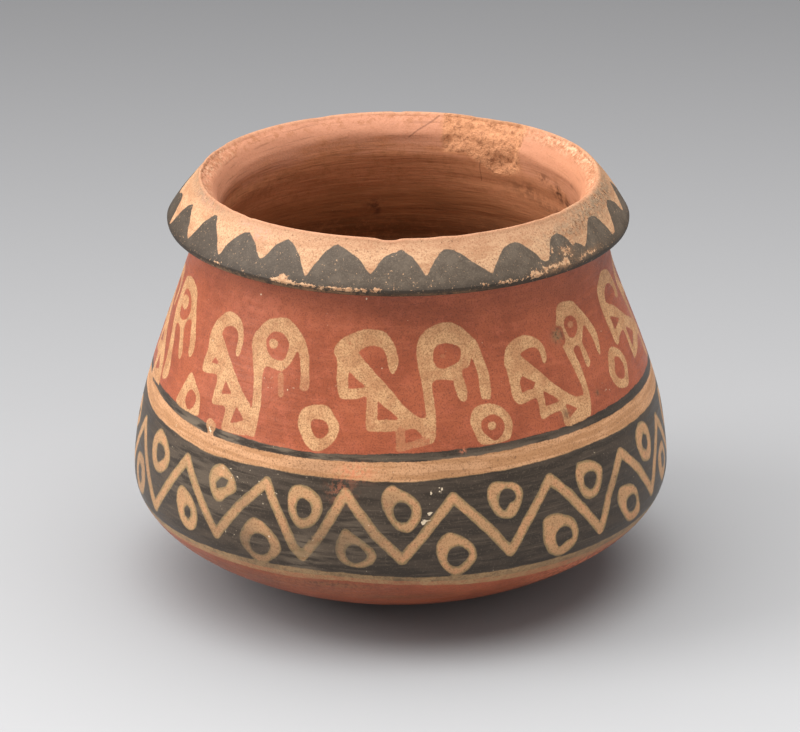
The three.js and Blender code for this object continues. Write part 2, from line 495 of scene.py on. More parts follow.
RIGHT_HEAD = [
    [(47.5, 33), (48.7, 33), (49.9, 35.3), (49.9, 38), (49.4, 40.3), (48.8, 42.2), (51, 42.3),
     (51.9, 39.3), (53.5, 39.8), (52.6, 42.3), (52.9, 43), (54.9, 44.6), (56, 44),
     (57.3, 42.3), (57.4, 41), (57.8, 39.8), (58.7, 40.2), (59.4, 41.7), (59.4, 43),
     (58.3, 44.7), (56, 46.5), (53.5, 48.2), (51, 48.8), (47.8, 49), (46.2, 48.5),
     (45.5, 47.2), (44.9, 46.2), (46.5, 45.8), (47, 44.5), (46.5, 43.5), (45.3, 43.2),
     (46.2, 41.7), (47.1, 39.7), (47.9, 37.7), (48, 35.7), (47, 34.5)],
    [(47.9, 46.2), (49.2, 46.8), (51, 46.8), (52.6, 46), (52.4, 44.8), (50.5, 43.8),
     (48.5, 44), (47.7, 45.2)],
]
FAR_RIGHT_BODY = [
    [(65.5, 46.7), (66.1, 48), (68.6, 49), (70.9, 49.7), (74.1, 49.5), (77.3, 48.7),
     (79.5, 47), (80.5, 45.7), (80, 44.5), (78.2, 44.3), (77, 44.8), (77.5, 45.7), (75.9, 47),
     (73.2, 47.4), (70.9, 47), (69.1, 45.7), (69.5, 45.2), (73.6, 44), (76.8, 42.5),
     (80, 41.2), (83.6, 40), (88, 38.5), (90, 37.5), (88, 36.5), (85, 37), (79.5, 36.2),
     (75, 35.7), (74.3, 36.5), (74.1, 40.2), (70, 40), (68.6, 39.4), (66.8, 39.7), (66.2, 42),
     (65.7, 44)],
    [(68.7, 43.5), (70.9, 42.8), (74.3, 42), (69.1, 41.3)],
    [(76.3, 40.3), (79.5, 39.2), (81.5, 38.4), (76.2, 37.2)],
]
FAR_LEFT_HEAD = [
    [(-73.4, 34), (-70.9, 35), (-72, 37.3), (-73.8, 39.3), (-76, 41.8), (-72.3, 41.6),
     (-68.2, 38.3), (-66.8, 39), (-69.5, 41.8), (-70, 43.2), (-67.5, 44), (-66.1, 42.8),
     (-64.7, 41.3), (-63.8, 39.7), (-62.5, 39.5), (-61.8, 40.7), (-62.5, 42.3), (-64.3, 44),
     (-66.5, 46), (-68.8, 47.8), (-72, 48.5), (-76.1, 48.7), (-79.7, 48.2), (-81.1, 47.3),
     (-81.5, 45.3), (-81.3, 43.7), (-78.4, 40.7), (-76.5, 38.7), (-75.2, 36.7), (-75, 34.7)],
    [(-77.7, 45.7), (-77.5, 46.7), (-75.2, 47.1), (-72.5, 46.8), (-70.2, 45.8), (-69.5, 44.7),
     (-70.6, 43.5), (-73.8, 43), (-76.3, 43.5)],
]

# Birds all round the jar: each part, and how far it is turned from where it was drawn.
# The hidden side repeats the ones that show.
BIRD_PARTS = [
    (LEFT_BODY, 0), (LEFT_HEAD, 0), (MIDDLE_BODY, 0), (MIDDLE_HEAD, 0),
    (RIGHT_BODY, 0), (RIGHT_HEAD, 0), (FAR_RIGHT_BODY, 0), (LEFT_HEAD, 124),
    (LEFT_BODY, -40), (FAR_LEFT_HEAD, 0),
    (MIDDLE_BODY, 120), (MIDDLE_HEAD, 120), (RIGHT_BODY, 116), (RIGHT_HEAD, 116),
    (LEFT_BODY, 239), (LEFT_HEAD, 239), (MIDDLE_BODY, 237.5), (MIDDLE_HEAD, 237.5),
]

FIELD_RINGS = [
    [[(-59.5, 37.7), (-56.8, 36.7), (-54, 35.3), (-53.3, 33.8), (-54, 32.6), (-62.7, 32.7),
      (-62.7, 34.2), (-61.8, 35.6), (-60.8, 37)],
     [(-58, 35.6), (-56, 35.3), (-55.3, 34.4), (-56, 33.3), (-57.7, 33), (-59.5, 33.8),
      (-59.2, 34.9)]],
    [[(-22.5, 38), (-20, 38.5), (-17.2, 38.4), (-15.5, 37.4), (-14.2, 36), (-14.7, 34.3),
      (-16.4, 32.9), (-18.8, 32.1), (-21.2, 32.7), (-23.1, 34.2), (-24.2, 35.7),
      (-23.8, 37.2)],
     [(-20.6, 36.4), (-18.3, 36.6), (-16.8, 36), (-16.6, 34.9), (-18, 34.1), (-19.6, 34.2),
      (-20.8, 35.3)]],
    [[(18, 38), (20.5, 38.2), (23.3, 37.9), (25.3, 36.9), (26.4, 35.4), (26, 33.8),
      (24.9, 32.9), (21.5, 32.7), (18.2, 32.9), (17.1, 34.4), (16.4, 36), (16.8, 37.2)],
     [(20, 36.4), (21.8, 36.7), (23.6, 36.2), (24.5, 35.2), (23.8, 33.9), (21.8, 33.1),
      (20, 33.9), (18.9, 35), (19, 36)]],
    [[(62, 39.5), (64.3, 39.7), (66.8, 39), (68.3, 38), (69, 36.6), (67.9, 35.2),
      (66.8, 33.9), (64.5, 33.6), (61.8, 34.2), (60.2, 35.2), (59.5, 36.7), (60.5, 38.3)],
     [(63.8, 38.2), (65.4, 38), (67, 36.9), (66.7, 35.7), (65, 34.9), (62.8, 35.4),
      (62, 36.5), (63, 37.4)]],
]

# Rings that stand between the birds on the hidden side: which ring it is, and how far it turns
HIDDEN_RINGS = [(1, 120), (2, 116.5), (3, 114), (1, 238), (2, 238)]

# Rings of the frieze that hang in the upper bays of the zigzag, from left to right
UPPER_RINGS = [
    [[(-69, 26.8), (-66.5, 28), (-63, 27.2), (-60.8, 25.8), (-60.2, 24.5), (-61.2, 23),
      (-63.5, 22), (-66.5, 21.8), (-69, 23.2), (-70, 25.2)],
     [(-66.6, 25.8), (-64, 25.8), (-62.7, 24.8), (-64, 23.8), (-65.6, 23.2), (-66.7, 24.2),
      (-66.9, 25)]],
    [[(-42, 27.7), (-39.6, 26.9), (-38, 25.6), (-37.8, 24.3), (-39.8, 23.4), (-41.3, 22.4),
      (-43.2, 22.2), (-44.8, 23.4), (-45.7, 25), (-45.3, 26.5), (-43.8, 27.4)],
     [(-42, 25.8), (-40.3, 25.6), (-40.8, 24.7), (-43.2, 23.9), (-43.6, 24.8)]],
    [[(-22, 27.3), (-19.8, 27), (-17.5, 25.9), (-16.8, 24.3), (-18, 22.3), (-20.3, 21.1),
      (-22.5, 21.2), (-24.2, 22.9), (-24.9, 25.2), (-24.1, 26.8)],
     [(-21.2, 25.4), (-19.7, 24.8), (-19.2, 23.6), (-20.3, 22.7), (-22, 22.7), (-22.7, 24),
      (-22.2, 25.1)]],
    [[(-2.2, 28.1), (-0.6, 27.7), (2, 26.7), (3.9, 25.4), (4.2, 23.8), (3, 22.1), (1.3, 21.2),
      (-1, 21.8), (-3, 23.4), (-4.3, 25.5), (-3.9, 27.1)],
     [(-0.6, 25.7), (0.9, 25.6), (2, 24.7), (1.9, 23.6), (0.7, 22.8), (-0.8, 23), (-1.6, 24.1),
      (-1.4, 25.2)]],
    [[(20.3, 27.5), (22.5, 27.3), (25, 26.9), (26.6, 25.8), (26.5, 24.3), (25.3, 22.8),
      (23.8, 21.9), (21.8, 22), (19.9, 23), (18.6, 24.8), (18.6, 26.4), (19.3, 27.2)],
     [(22.4, 26.2), (24, 26), (24.9, 25.2), (24.5, 24.4), (23.5, 24.1), (22.3, 23.2),
      (21.2, 23.9), (21, 25), (21.5, 25.8)]],
    [[(41.6, 27.3), (43, 27.2), (45.5, 26.9), (47.8, 25.9), (48.6, 24.9), (47.8, 23),
      (46.3, 21.6), (44, 21.4), (41.9, 22.2), (40.8, 23.8), (40.4, 25.4), (40.9, 26.7)],
     [(43.4, 25.3), (45.6, 25.3), (46.5, 24.5), (46, 23.4), (44.4, 22.8), (42.9, 23.6),
      (42.7, 24.6)]],
    [[(66, 28), (68.3, 27.6), (69.9, 26.4), (70.2, 24.6), (69.4, 22.6), (67.8, 21.8),
      (65.5, 22.1), (63.8, 23.1), (62.7, 24.8), (62.6, 26.4), (64, 27.6)],
     [(66.7, 26.1), (68.1, 25.5), (68.1, 24.2), (66.9, 23.6), (65.4, 24.2), (65.2, 25.3)]],
]

# Rings of the frieze that stand in the lower bays
LOWER_RINGS = [
    [[(-78, 21.6), (-75, 21.6), (-72.6, 20.2), (-71.9, 18.4), (-73, 16.4), (-75.5, 15.4),
      (-78.3, 15.6), (-80.3, 17.3), (-80.8, 19.5), (-79.6, 21)],
     [(-77.5, 20), (-75.5, 19.5), (-75, 18), (-76, 17), (-77.8, 17.6), (-78.3, 19)]],
    [[(-54.2, 22.3), (-52.3, 21.9), (-50.2, 21), (-48.7, 19.5), (-48.5, 17.5), (-49.8, 16.2),
      (-52, 16), (-54.2, 17.1), (-55.6, 18.9), (-56, 20.5), (-55.4, 21.7)],
     [(-52, 19.7), (-50.8, 19.4), (-50.4, 18.4), (-51.3, 17.6), (-52.6, 18), (-52.9, 19)]],
    [[(-32.5, 21.4), (-30.5, 21), (-28.3, 20), (-26.4, 18.6), (-25.9, 17.2), (-27.2, 16),
      (-28.9, 15), (-30, 14.5), (-32.5, 14.7), (-34.2, 15.8), (-35.7, 17), (-36, 18.4),
      (-35, 19.9), (-33.8, 20.9)],
     [(-31.5, 19.1), (-29.6, 18.8), (-28.6, 17.6), (-29.2, 16.5), (-30.8, 15.9),
      (-32.6, 16.2), (-33.5, 17.3), (-33, 18.5)]],
    [[(-12, 21.6), (-10.2, 21.1), (-7.8, 19.8), (-5.8, 18.6), (-5.3, 17.5), (-6.3, 16.4),
      (-8.5, 15.8), (-11, 16), (-13.2, 17), (-13.9, 18.6), (-13.4, 20.2)],
     [(-10.2, 19.4), (-8.6, 18.9), (-7.3, 17.8), (-8.2, 16.9), (-10, 16.5), (-11.4, 17.2),
      (-11.7, 18.5)]],
    [[(9.8, 21), (11.5, 20.6), (13.6, 19.7), (15.2, 18.4), (15.7, 16.8), (14.4, 15.4),
      (12.9, 14.4), (11, 14.1), (8.9, 15.2), (7.4, 16.9), (7, 18.6), (7.9, 20.2)],
     [(11.2, 18.8), (12.8, 18.5), (13.9, 17.4), (12.8, 16.2), (11.5, 15.6), (10, 16),
      (9.3, 17), (9.8, 18.3)]],
    [[(31.2, 20.6), (33.5, 21), (36, 20.6), (38.4, 19.7), (40, 18), (39.9, 16.2), (38, 14.6),
      (35.5, 14), (33, 14.8), (31.2, 16.5), (30.8, 18.5)],
     [(34.6, 18.3), (36.3, 18.7), (37.9, 18), (38.2, 16.6), (36.7, 16.3), (35, 15.7),
      (34.1, 16.6), (34, 17.6)]],
    [[(53.4, 20.8), (55.5, 20.9), (58, 20.5), (60.3, 19.3), (61.2, 17.5), (61.7, 15.2),
      (60.5, 14.5), (58, 14.5), (55.6, 15.6), (53.9, 17.2), (52.6, 19)],
     [(57.5, 18.8), (59.3, 18.5), (59.9, 17.2), (59, 16.3), (57.3, 16.3), (56, 17.4),
      (56.2, 18.4)]],
    [[(74.3, 20.8), (77, 21.9), (79.8, 21.5), (81.3, 19.5), (80.8, 17.5), (78.3, 16),
      (75.5, 16.4), (73.9, 18.2), (73.5, 19.6)],
     [(76.8, 20.2), (78.8, 20.3), (79.8, 19), (78.5, 17.9), (76.7, 18.2)]],
]

# The zigzag's corners
ZIGZAG = [
    (-77.7, 26.5), (-65.2, 16.2), (-53.6, 26.4), (-42.5, 17.2), (-36.6, 22.4), (-30.2, 26.8),
    (-25.7, 21.5), (-23.2, 18.2), (-21.1, 16.8), (-16.9, 20.7), (-12, 26.8), (-8.3, 23.5),
    (-5.6, 21), (0, 17.2), (11, 26), (15.4, 23), (19.2, 20.2), (23.1, 16.8), (27, 20.8),
    (33.5, 26.3), (38, 23.3), (46.7, 16), (49.7, 20.5), (52.6, 23.5), (55.5, 26), (61.7, 22.1),
    (68, 16.8), (71.3, 21), (76.7, 26),
]
ZIGZAG_WIDTH = 1.55

# The zigzag on the hidden side: how many peaks, the heights of its corners, how far along
# from a peak a valley lies, how far the heights sway, and how the sway turns from one peak
# to the next, in radians
BACK_PEAKS = 8
BACK_PEAK = 26.3
BACK_VALLEY = 16.7
BACK_VALLEY_PLACE = 0.52
CORNER_SWAY = 0.4
PEAK_SWAY_TURN = 1.7
VALLEY_SWAY_TURN = 2.1

# Eyes, beaks, toes and a drip of the cream paint: (width, strength, points)
SMALL_STROKES = [
    (1.3, 0.95, [(-34.3, 45.6), (-33.7, 45.6)]),
    (0.9, 0.62, [(-30.4, 41.6), (-29.7, 39.2)]),
    (0.6, 0.2, [(10.8, 45.3), (11.3, 45.3)]),
    (1.2, 0.5, [(0, 36), (0.1, 33.6)]),
    (1.0, 0.45, [(-0.3, 33.2), (6.2, 34.1)]),
    (0.8, 0.5, [(49.8, 45.6), (50.5, 45.6)]),
    (1.9, 0.95, [(-75.6, 45.3), (-73.8, 45.3)]),
    (1.1, 0.9, [(21.2, 35.2), (21.6, 35.2)]),
    (1.5, 0.8, [(-48.6, 32.4), (-47.4, 32.1)]),
    (1.1, 0.85, [(-48.2, 32), (-47.4, 30.9)]),
    (0.9, 0.4, [(-21.5, 20), (-19.5, 19.8)]),
]

# Edges of the bands: (angle, height)
RED_EDGE = [(-88, 33.3), (-74, 33), (-60, 32.8), (-48, 32.3), (-22, 32), (0, 32.5), (30, 32.7),
            (70, 32.8), (120, 32.4), (180, 33), (230, 32.6)]
LINE_FOOT = [(-88, 32.2), (-74, 32), (-60, 31.3), (-48, 31), (-22, 31.1), (0, 31.3), (30, 31.6),
             (70, 31.5), (120, 31.2), (180, 31.8), (230, 31.5)]
BAND_FOOT = [(-85, 29.7), (-74, 29), (-60, 28.9), (-47, 28.4), (-30, 28.8), (-10, 28.7), (2, 28.5),
             (10, 28.8), (45, 29.1), (74, 28.6), (120, 28.9), (180, 28.5), (230, 29.1)]
LOWER_LINE_TOP = [(-50, 14.4), (-25, 14.8), (-12, 14.8), (4, 14.1), (12, 14), (28, 13.9),
                  (45, 13.7), (58, 13.7), (110, 14.2), (180, 13.8), (250, 14.3)]
LOWER_LINE_FOOT = [(-50, 13), (-25, 12.8), (-12, 13.3), (4, 12.6), (12, 12.1), (28, 11.5),
                   (45, 11.2), (58, 11.5), (110, 12), (180, 11.8), (250, 12.6)]

# Outline of the dark scallops on the flange: (angle, distance up the flange from its foot)
SCALLOPS = [
    (-94, 5), (-91, 5.7), (-88, 6), (-85.5, 5.6), (-83, 4.2), (-81.5, 2.3), (-80.3, 2.7),
    (-79, 5), (-77.5, 6.5), (-75.3, 7.1), (-73, 6.2), (-70, 5), (-68, 3.8), (-66, 3.1),
    (-65.3, 3.5), (-64.2, 5), (-63.7, 6.2), (-62.6, 7), (-61.3, 8.1), (-59.8, 8.1), (-58, 7),
    (-56, 6), (-54, 5), (-52.3, 3.8), (-51, 3.1), (-50.3, 3.5), (-49.8, 5), (-48.5, 6.2),
    (-47.5, 7), (-46.5, 7.6), (-44.5, 7.8), (-43, 7.2), (-41, 6.4), (-39.5, 5.3), (-38, 4.5),
    (-37.3, 4.4), (-36.6, 4.8), (-35.7, 5.8), (-34.7, 7), (-33, 7.8), (-31.8, 8.2), (-30, 7.8),
    (-28.5, 7), (-26.5, 5.8), (-25, 4.3), (-23.8, 3), (-23, 3.5), (-22.2, 5), (-21, 6.2),
    (-20, 7.2), (-18.3, 8.2), (-17.2, 8.5), (-15, 8), (-12, 7), (-10, 6), (-8.5, 5), (-7.3, 4.4),
    (-6, 5.3), (-5.2, 6.2), (-4, 7.2), (-2.3, 7.9), (-1.6, 7.8), (-0.2, 8.3), (1.2, 7.9), (3, 7),
    (4.5, 5.8), (5.8, 4.7), (6.7, 4), (7.8, 5.2), (9, 6.4), (10.3, 7.3), (11.5, 7.8), (12.8, 7.9),
    (14, 7.7), (16, 7), (18, 6), (20, 5), (22, 4.1), (23.5, 3.4), (24.7, 4.6), (26.5, 6),
    (28.3, 7), (30.3, 7.5), (32, 7.5), (33.5, 7), (35.3, 6), (37, 5), (38, 4), (39, 3.6),
    (40.3, 3.6), (41, 4.5), (42.3, 5.8), (43.8, 6.8), (45.8, 7.1), (47.5, 6.7), (49, 5.8),
    (49.8, 4.6), (51.2, 4.8), (53, 4.2), (53.8, 3.5), (55, 4.2), (57, 5.3), (59, 6.4),
    (60.8, 7.2), (63.2, 7.2), (64.5, 6.8), (66, 5.5), (67.3, 4.3), (68.2, 3.1), (69.8, 3.1),
    (71, 4), (72.5, 5.5), (74, 6.8), (76.5, 7.3), (78.5, 7), (81, 6), (82.5, 4.5), (84, 3.7),
]

# The scallops on the hidden side: how many, the heights of their peaks and valleys, how far
# those sway, and how the sway turns from one scallop to the next, in radians
BACK_SCALLOPS = 12
BACK_SCALLOP_PEAK = 7.5
SCALLOP_PEAK_SWAY = 0.6
SCALLOP_PEAK_TURN = 2.3
BACK_SCALLOP_VALLEY = 3.7
SCALLOP_VALLEY_SWAY = 0.4
SCALLOP_VALLEY_TURN = 1.9

# Points of such a scallop before and after its peak: (share of its width, height)
SCALLOP_UP = [(-0.34, 5.1), (-0.2, 6.4)]
SCALLOP_DOWN = [(0.2, 6.3), (0.36, 5)]

# How far up the flange's edge the cream smear from under it shows
EDGE_SMEAR = 0.55

# Soft spots where the surface is worn or stained, or where sheen is painted: (angle, height, half
# angle, half height, amount). On the flange the height is the distance up it from its foot.
FADED_CREAM = [
    (-23.5, 40.8, 2, 1.8, 0.55), (-19, 30, 6, 1.2, 0.25), (11, 30, 9, 1.2, 0.14),
    (-39, 32.8, 4, 0.6, 0.4), (-30, 40.5, 3, 1.5, 0.3), (-7, 38, 1.5, 2, 0.35),
    (-14, 19, 12, 4.5, 0.62), (-35, 18, 4, 3, 0.5), (-43, 18, 4, 3, 0.3),
    (-30.5, 16, 6, 2.5, 0.4), (-35.5, 23.2, 3, 1.5, 0.3), (-3, 25.5, 4, 2, 0.3),
    (-68, 20, 6, 6, 0.2), (-76, 20, 6, 6, 0.3), (51, 22, 3, 2.5, 0.25),
    (7, 34.5, 2, 1.5, 0.2), (16.7, 44, 1.2, 1.2, 0.3), (0, 13.4, 3, 1, 0.5),
    (37, 12.5, 5, 1, 0.3), (50, 12.4, 5, 1, 0.4),
]
RED_WEAR = [(44, 9.8, 13, 1.8, 1.2), (-10, 29.8, 4, 1, 0.7), (14, 32.3, 0.6, 0.3, 1.2),
            (-13, 27, 2.5, 1.5, 0.35)]
WHITE_FLECKS = [
    (8.4, 27.3, 0.6, 0.4, 1.1), (6.4, 27, 0.4, 0.3, 1.1), (4.6, 22.8, 0.9, 0.45, 1.3),
    (5.9, 23.9, 0.5, 0.35, 1.2), (-48, 31.8, 1.2, 0.8, 0.6), (-41, 51.2, 0.3, 0.2, 1.6),
    (-9.5, 52.8, 0.3, 0.2, 1.6), (-35, 25, 9, 3.5, 0.2), (-60, 27, 8, 2.5, 0.18),
    (57.5, 35, 2, 1, 0.3), (-26, 40.5, 3, 1.6, 0.3), (-33, 40, 2, 1, 0.3), (-17, 41, 2, 1, 0.3),
    (-42, 27.5, 3, 0.8, 0.35), (-5, 24, 2, 3, 0.2),
]
# Pale haze on the slip: partly a pale deposit, partly painted sheen, which is strongest on the left
# and along the dark line
PALE_HAZE_AND_SHEEN = [
    (-14, 49.5, 11, 3, 0.2), (-50, 42, 12, 9, 0.2), (-33, 42, 5, 4, 0.35), (-38, 50, 12, 2, 0.3),
    (-45, 31.6, 24, 0.7, 0.9), (-16, 31.5, 14, 0.5, 0.7), (-48, 24, 14, 5, 0.4),
    (-21, 17, 4, 3, 0.8), (-9, 20.5, 5, 3, 0.5), (24, 31.5, 24, 0.6, 0.6),
]
SMOKE = [
    (44.5, 44.9, 1.9, 1, 1.3), (41.3, 34.3, 1.5, 0.8, 0.8), (52.8, 35.3, 0.6, 0.4, 0.9),
    (-28, 11, 26, 1.6, 0.45), (0, 9.5, 14, 0.7, 0.4), (-14, 12.2, 9, 0.5, 0.6),
]
FLANGE_WEAR = [
    (-25, 1.9, 13, 0.4, 0.85), (-10, 1.8, 8, 0.4, 0.7), (29, 1.8, 6, 0.35, 0.75),
    (-29.5, 2.5, 2, 0.6, 1.1), (36, 2.2, 3.5, 0.7, 0.75), (43, 2.6, 6, 0.7, 0.7),
    (-6, 3, 8, 1.3, 0.3), (-45, 3, 6, 0.8, 0.35), (20, 2, 8, 0.5, 0.4), (48, 3.6, 9, 2, 0.2),
    (47, 4.2, 2.5, 0.9, 0.6), (42.5, 5, 1.5, 0.8, 0.55), (55, 2.6, 5, 0.6, 0.6),
    (65, 2.2, 4, 0.4, 0.5), (-50, 2, 4, 0.4, 0.4), (-1, 2.7, 2, 0.6, 0.3), (8, 2.3, 1, 0.7, 0.45),
]
FLANGE_GREY = [(62, 7.6, 11, 1.8, 0.9), (78, 9, 20, 1, 0.8), (-75, 9.2, 16, 0.8, 0.7),
               (47, 6.5, 7, 1.6, 0.7), (80, 8, 8, 1.5, 0.8), (47, 4.6, 4, 1.2, 0.6)]
FLANGE_BROWN_SPOTS = [(43, 2.2, 6, 0.7, 1), (47, 4, 3, 1, 0.6), (56, 2.8, 4, 0.6, 0.6),
                      (-22, 1.1, 16, 0.35, 1.2), (-48, 1.1, 10, 0.35, 1), (12, 1.1, 12, 0.3, 0.7)]
FLANGE_PINK = [(-41, 7.9, 2.6, 0.9, 1), (-47, 9, 3, 0.5, 0.8), (-70, 9, 8, 0.8, 0.4),
               (-36, 8.8, 3, 0.4, 0.3)]
INNER_STAINS = [
    (126, 55.4, 4, 0.9, 0.9), (117.5, 54.4, 3, 1.3, 1.1), (111, 52.8, 4, 1.6, 1.1),
    (100, 50, 8, 2, 0.7), (122, 50.5, 8, 0.8, 0.6),
    (135, 52.2, 8, 1.5, 0.55), (187, 46.3, 2.6, 1.2, 0.9), (150.5, 60.1, 2.2, 0.3, 0.8),
    (186, 45, 1.2, 1, 0.6), (105, 57.5, 1.5, 0.4, 0.6), (230, 53.5, 14, 1.4, 0.3),
]
CRACKS = [
    [(167.5, 61.6), (169.5, 60.9), (172, 60.2), (174, 59.7), (177, 58.6)],
    [(152.5, 55.9), (153.2, 54.6), (152.8, 53.4), (153, 52.2)],
]

# Spots that a member keeps on its points, by the name that its material reads them by
BODY_SPOTS = {"red_wear": RED_WEAR, "flecks": WHITE_FLECKS, "haze_and_sheen": PALE_HAZE_AND_SHEEN, "smoke": SMOKE}
FLANGE_SPOTS = {"brown": FLANGE_BROWN_SPOTS, "wear": FLANGE_WEAR, "grey": FLANGE_GREY,
                "pink": FLANGE_PINK}
INNER_SPOTS = {"stain": INNER_STAINS, "chip": LIP_CHIPS}

# Distance to paint or to a crack where there is none near
FAR_FROM_PAINT = 9.0

# Degrees and height round a line or loop in which its distances are worked out
WORKED_OUT_BEYOND = (4, 2.5)


def level_of(line, angle):
    """The height of an edge of a band at each angle round the jar."""
    places = np.array([point[0] for point in line], float)
    heights = np.array([point[1] for point in line], float)
    return np.interp(angle, places, heights, period=360)


class Painting:
    """Distance into the cream paint, and how well it covers, on a grid of points."""

    def __init__(self, angle, height):
        self.angle = angle
        self.height = height
        self.degree = math.radians(1) * np.interp(height, outside[:, 1], outside[:, 0])
        self.cream = np.full(angle.shape, -FAR_FROM_PAINT)
        self.cover = np.ones(angle.shape)

    def near(self, line, turn):
        """Picks the points near a line or loop, and turns their angles back to it."""
        points = np.array(line, float)
        low, high = points.min(axis=0), points.max(axis=0)
        middle, reach = (low + high) / 2, (high - low) / 2 + WORKED_OUT_BEYOND
        around = turn_between(self.angle, middle[0] + turn)
        where = (np.abs(around) < reach[0]) & (np.abs(self.height - middle[1]) < reach[1])
        return where, around[where] + middle[0], self.height[where], self.degree[where]

    def add(self, where, distance, cover):
        """Adds paint where it reaches further than what is there."""
        better = distance > self.cream[where]
        self.cream[where] = np.where(better, distance, self.cream[where])
        self.cover[where] = np.where(better, cover, self.cover[where])

    def shape(self, loops, turn=0):
        """Paints an outline, without its holes."""
        where, *places = self.near(loops[0], turn)
        if where.any():
            distance = loop_distance(*places, rounded(loops[0]))
            for hole in loops[1:]:
                distance = np.minimum(distance, -loop_distance(*places, rounded(hole)))
            self.add(where, distance, 1)

    def stroke(self, width, cover, line):
        """Paints a line with a brush of one width."""
        where, *places = self.near(line, 0)
        if where.any():
            self.add(where, width / 2 - line_distance(*places, line), cover)

    def band(self, top, foot):
        """Paints between two edges that go round the jar."""
        below_top = level_of(top, self.angle) - self.height
        above_foot = self.height - level_of(foot, self.angle)
        everywhere = np.ones(self.angle.shape, bool)
        self.add(everywhere, np.minimum(below_top, above_foot).ravel(), 1)


def middle_angle(ring):
    """Where round the jar the middle of a ring is."""
    return np.mean([point[0] for point in ring[0]])


def paint_birds(painting):
    """The birds with the rings between them."""
    for part, turn in BIRD_PARTS:
        painting.shape(part, turn)
    for ring in FIELD_RINGS:
        painting.shape(ring)
    for ring, turn in HIDDEN_RINGS:
        painting.shape(FIELD_RINGS[ring], turn)


def paint_frieze(painting):
    """The zigzag with its rings. The hidden side goes on with even peaks."""
    zigzag = list(ZIGZAG)
    start = ZIGZAG[-1][0]
    pitch = (360 + ZIGZAG[0][0] - start) / (BACK_PEAKS + 1)
    for count in range(BACK_PEAKS + 1):
        valley = start + pitch * (count + BACK_VALLEY_PLACE)
        valley_height = BACK_VALLEY + CORNER_SWAY * math.sin(count * VALLEY_SWAY_TURN)
        peak_height = BACK_PEAK + CORNER_SWAY * math.cos(count * PEAK_SWAY_TURN)
        zigzag += [(valley, valley_height), (start + pitch * (count + 1), peak_height)]
        upper = UPPER_RINGS[count % len(UPPER_RINGS)]
        painting.shape(upper, valley - middle_angle(upper))
        if count:
            lower = LOWER_RINGS[1 + count % (len(LOWER_RINGS) - 2)]
            painting.shape(lower, start + pitch * count - middle_angle(lower))
    for end in zip(zigzag[:-1], zigzag[1:]):
        painting.stroke(ZIGZAG_WIDTH, 1, end)
    for ring in UPPER_RINGS + LOWER_RINGS:
        painting.shape(ring)


def keep_spots(piece, angle, height, kinds):
    """Keeps soft spots on a member's points, by the name that a material reads them by."""
    for name, spots in kinds.items():
        keep_on_points(piece, name, soft_spots(angle, height, spots))


def paint_body(piece, angle, height):
    """Keeps the distances into the paints, and the spots of wear, stain and haze with painted
    sheen, on a body member's points.
    """
    painting = Painting(angle, height)
    paint_birds(painting)
    paint_frieze(painting)
    for width, cover, line in SMALL_STROKES:
        painting.stroke(width, cover, line)
    painting.band(LINE_FOOT, BAND_FOOT)
    painting.band(LOWER_LINE_TOP, LOWER_LINE_FOOT)
    middle_of_line = (level_of(LOWER_LINE_TOP, angle) + level_of(LOWER_LINE_FOOT, angle)) / 2
    keep_on_points(piece, "cream", painting.cream)
    keep_on_points(piece, "cover", painting.cover - soft_spots(angle, height, FADED_CREAM))
    keep_on_points(piece, "dark", np.minimum(level_of(RED_EDGE, angle) - height,
                                             height - middle_of_line))
    keep_on_points(piece, "frieze", level_of(BAND_FOOT, angle) - height)
    keep_on_points(piece, "line", level_of(LOWER_LINE_TOP, angle) - height)
    keep_spots(piece, angle, height, BODY_SPOTS)


def scallop_outline():
    """The edge of the dark scallops all round, with even ones on the hidden side."""
    outline = list(SCALLOPS)
    first_angle, first_rise = SCALLOPS[0]
    last_angle = SCALLOPS[-1][0]
    pitch = (360 + first_angle - last_angle) / BACK_SCALLOPS
    for scallop in range(BACK_SCALLOPS):
        middle = last_angle + pitch * (scallop + 0.5)
        peak = BACK_SCALLOP_PEAK + SCALLOP_PEAK_SWAY * math.sin(scallop * SCALLOP_PEAK_TURN)
        valley = BACK_SCALLOP_VALLEY + SCALLOP_VALLEY_SWAY * math.cos(scallop * SCALLOP_VALLEY_TURN)
        points = [*SCALLOP_UP, (0, peak), *SCALLOP_DOWN, (0.5, valley)]
        outline += [(middle + share * pitch, rise) for share, rise in points]
    outline[-1] = (first_angle + 360, first_rise)
    return outline


def paint_flange(piece, angle, run):
    """Keeps the distance into the dark scallops, and the worn spots, on the flange's points."""
    outline = scallop_outline()
    degree = np.full(angle.shape, math.radians(1) * (EDGE_RADIUS + LIP_RADIUS) / 2)
    distance = line_distance(angle, run, degree, outline)
    dark = np.where(run < level_of(outline, angle), distance, -distance)
    keep_on_points(piece, "dark", np.minimum(dark, run - EDGE_SMEAR))
    keep_spots(piece, angle, run, FLANGE_SPOTS)


def mark_inside(piece, angle, height, share):
    """Keeps what the bare clay of the inside is made of on a member's points."""
    cracks = np.full(angle.shape, FAR_FROM_PAINT)
    degree = np.full(angle.shape, math.radians(1) * inner_neck)
    for crack in CRACKS:
        cracks = np.minimum(cracks, line_distance(angle, height, degree, crack))
    sideways = np.sin(np.radians(angle))
    keep_on_points(piece, "inside", share)
    keep_on_points(piece, "level", height)
    keep_on_points(piece, "spall", spall_distance(angle, height))
    keep_on_points(piece, "crack", cracks)
    keep_on_points(piece, "right", np.maximum(0, sideways))
    keep_on_points(piece, "left", np.maximum(0, -sideways))
    keep_spots(piece, angle, height, INNER_SPOTS)


# Materials

# The curve that a picture's colours follow
BRIGHTEST = 255
CURVE_OFFSET = 0.055
CURVE_POWER = 2.4


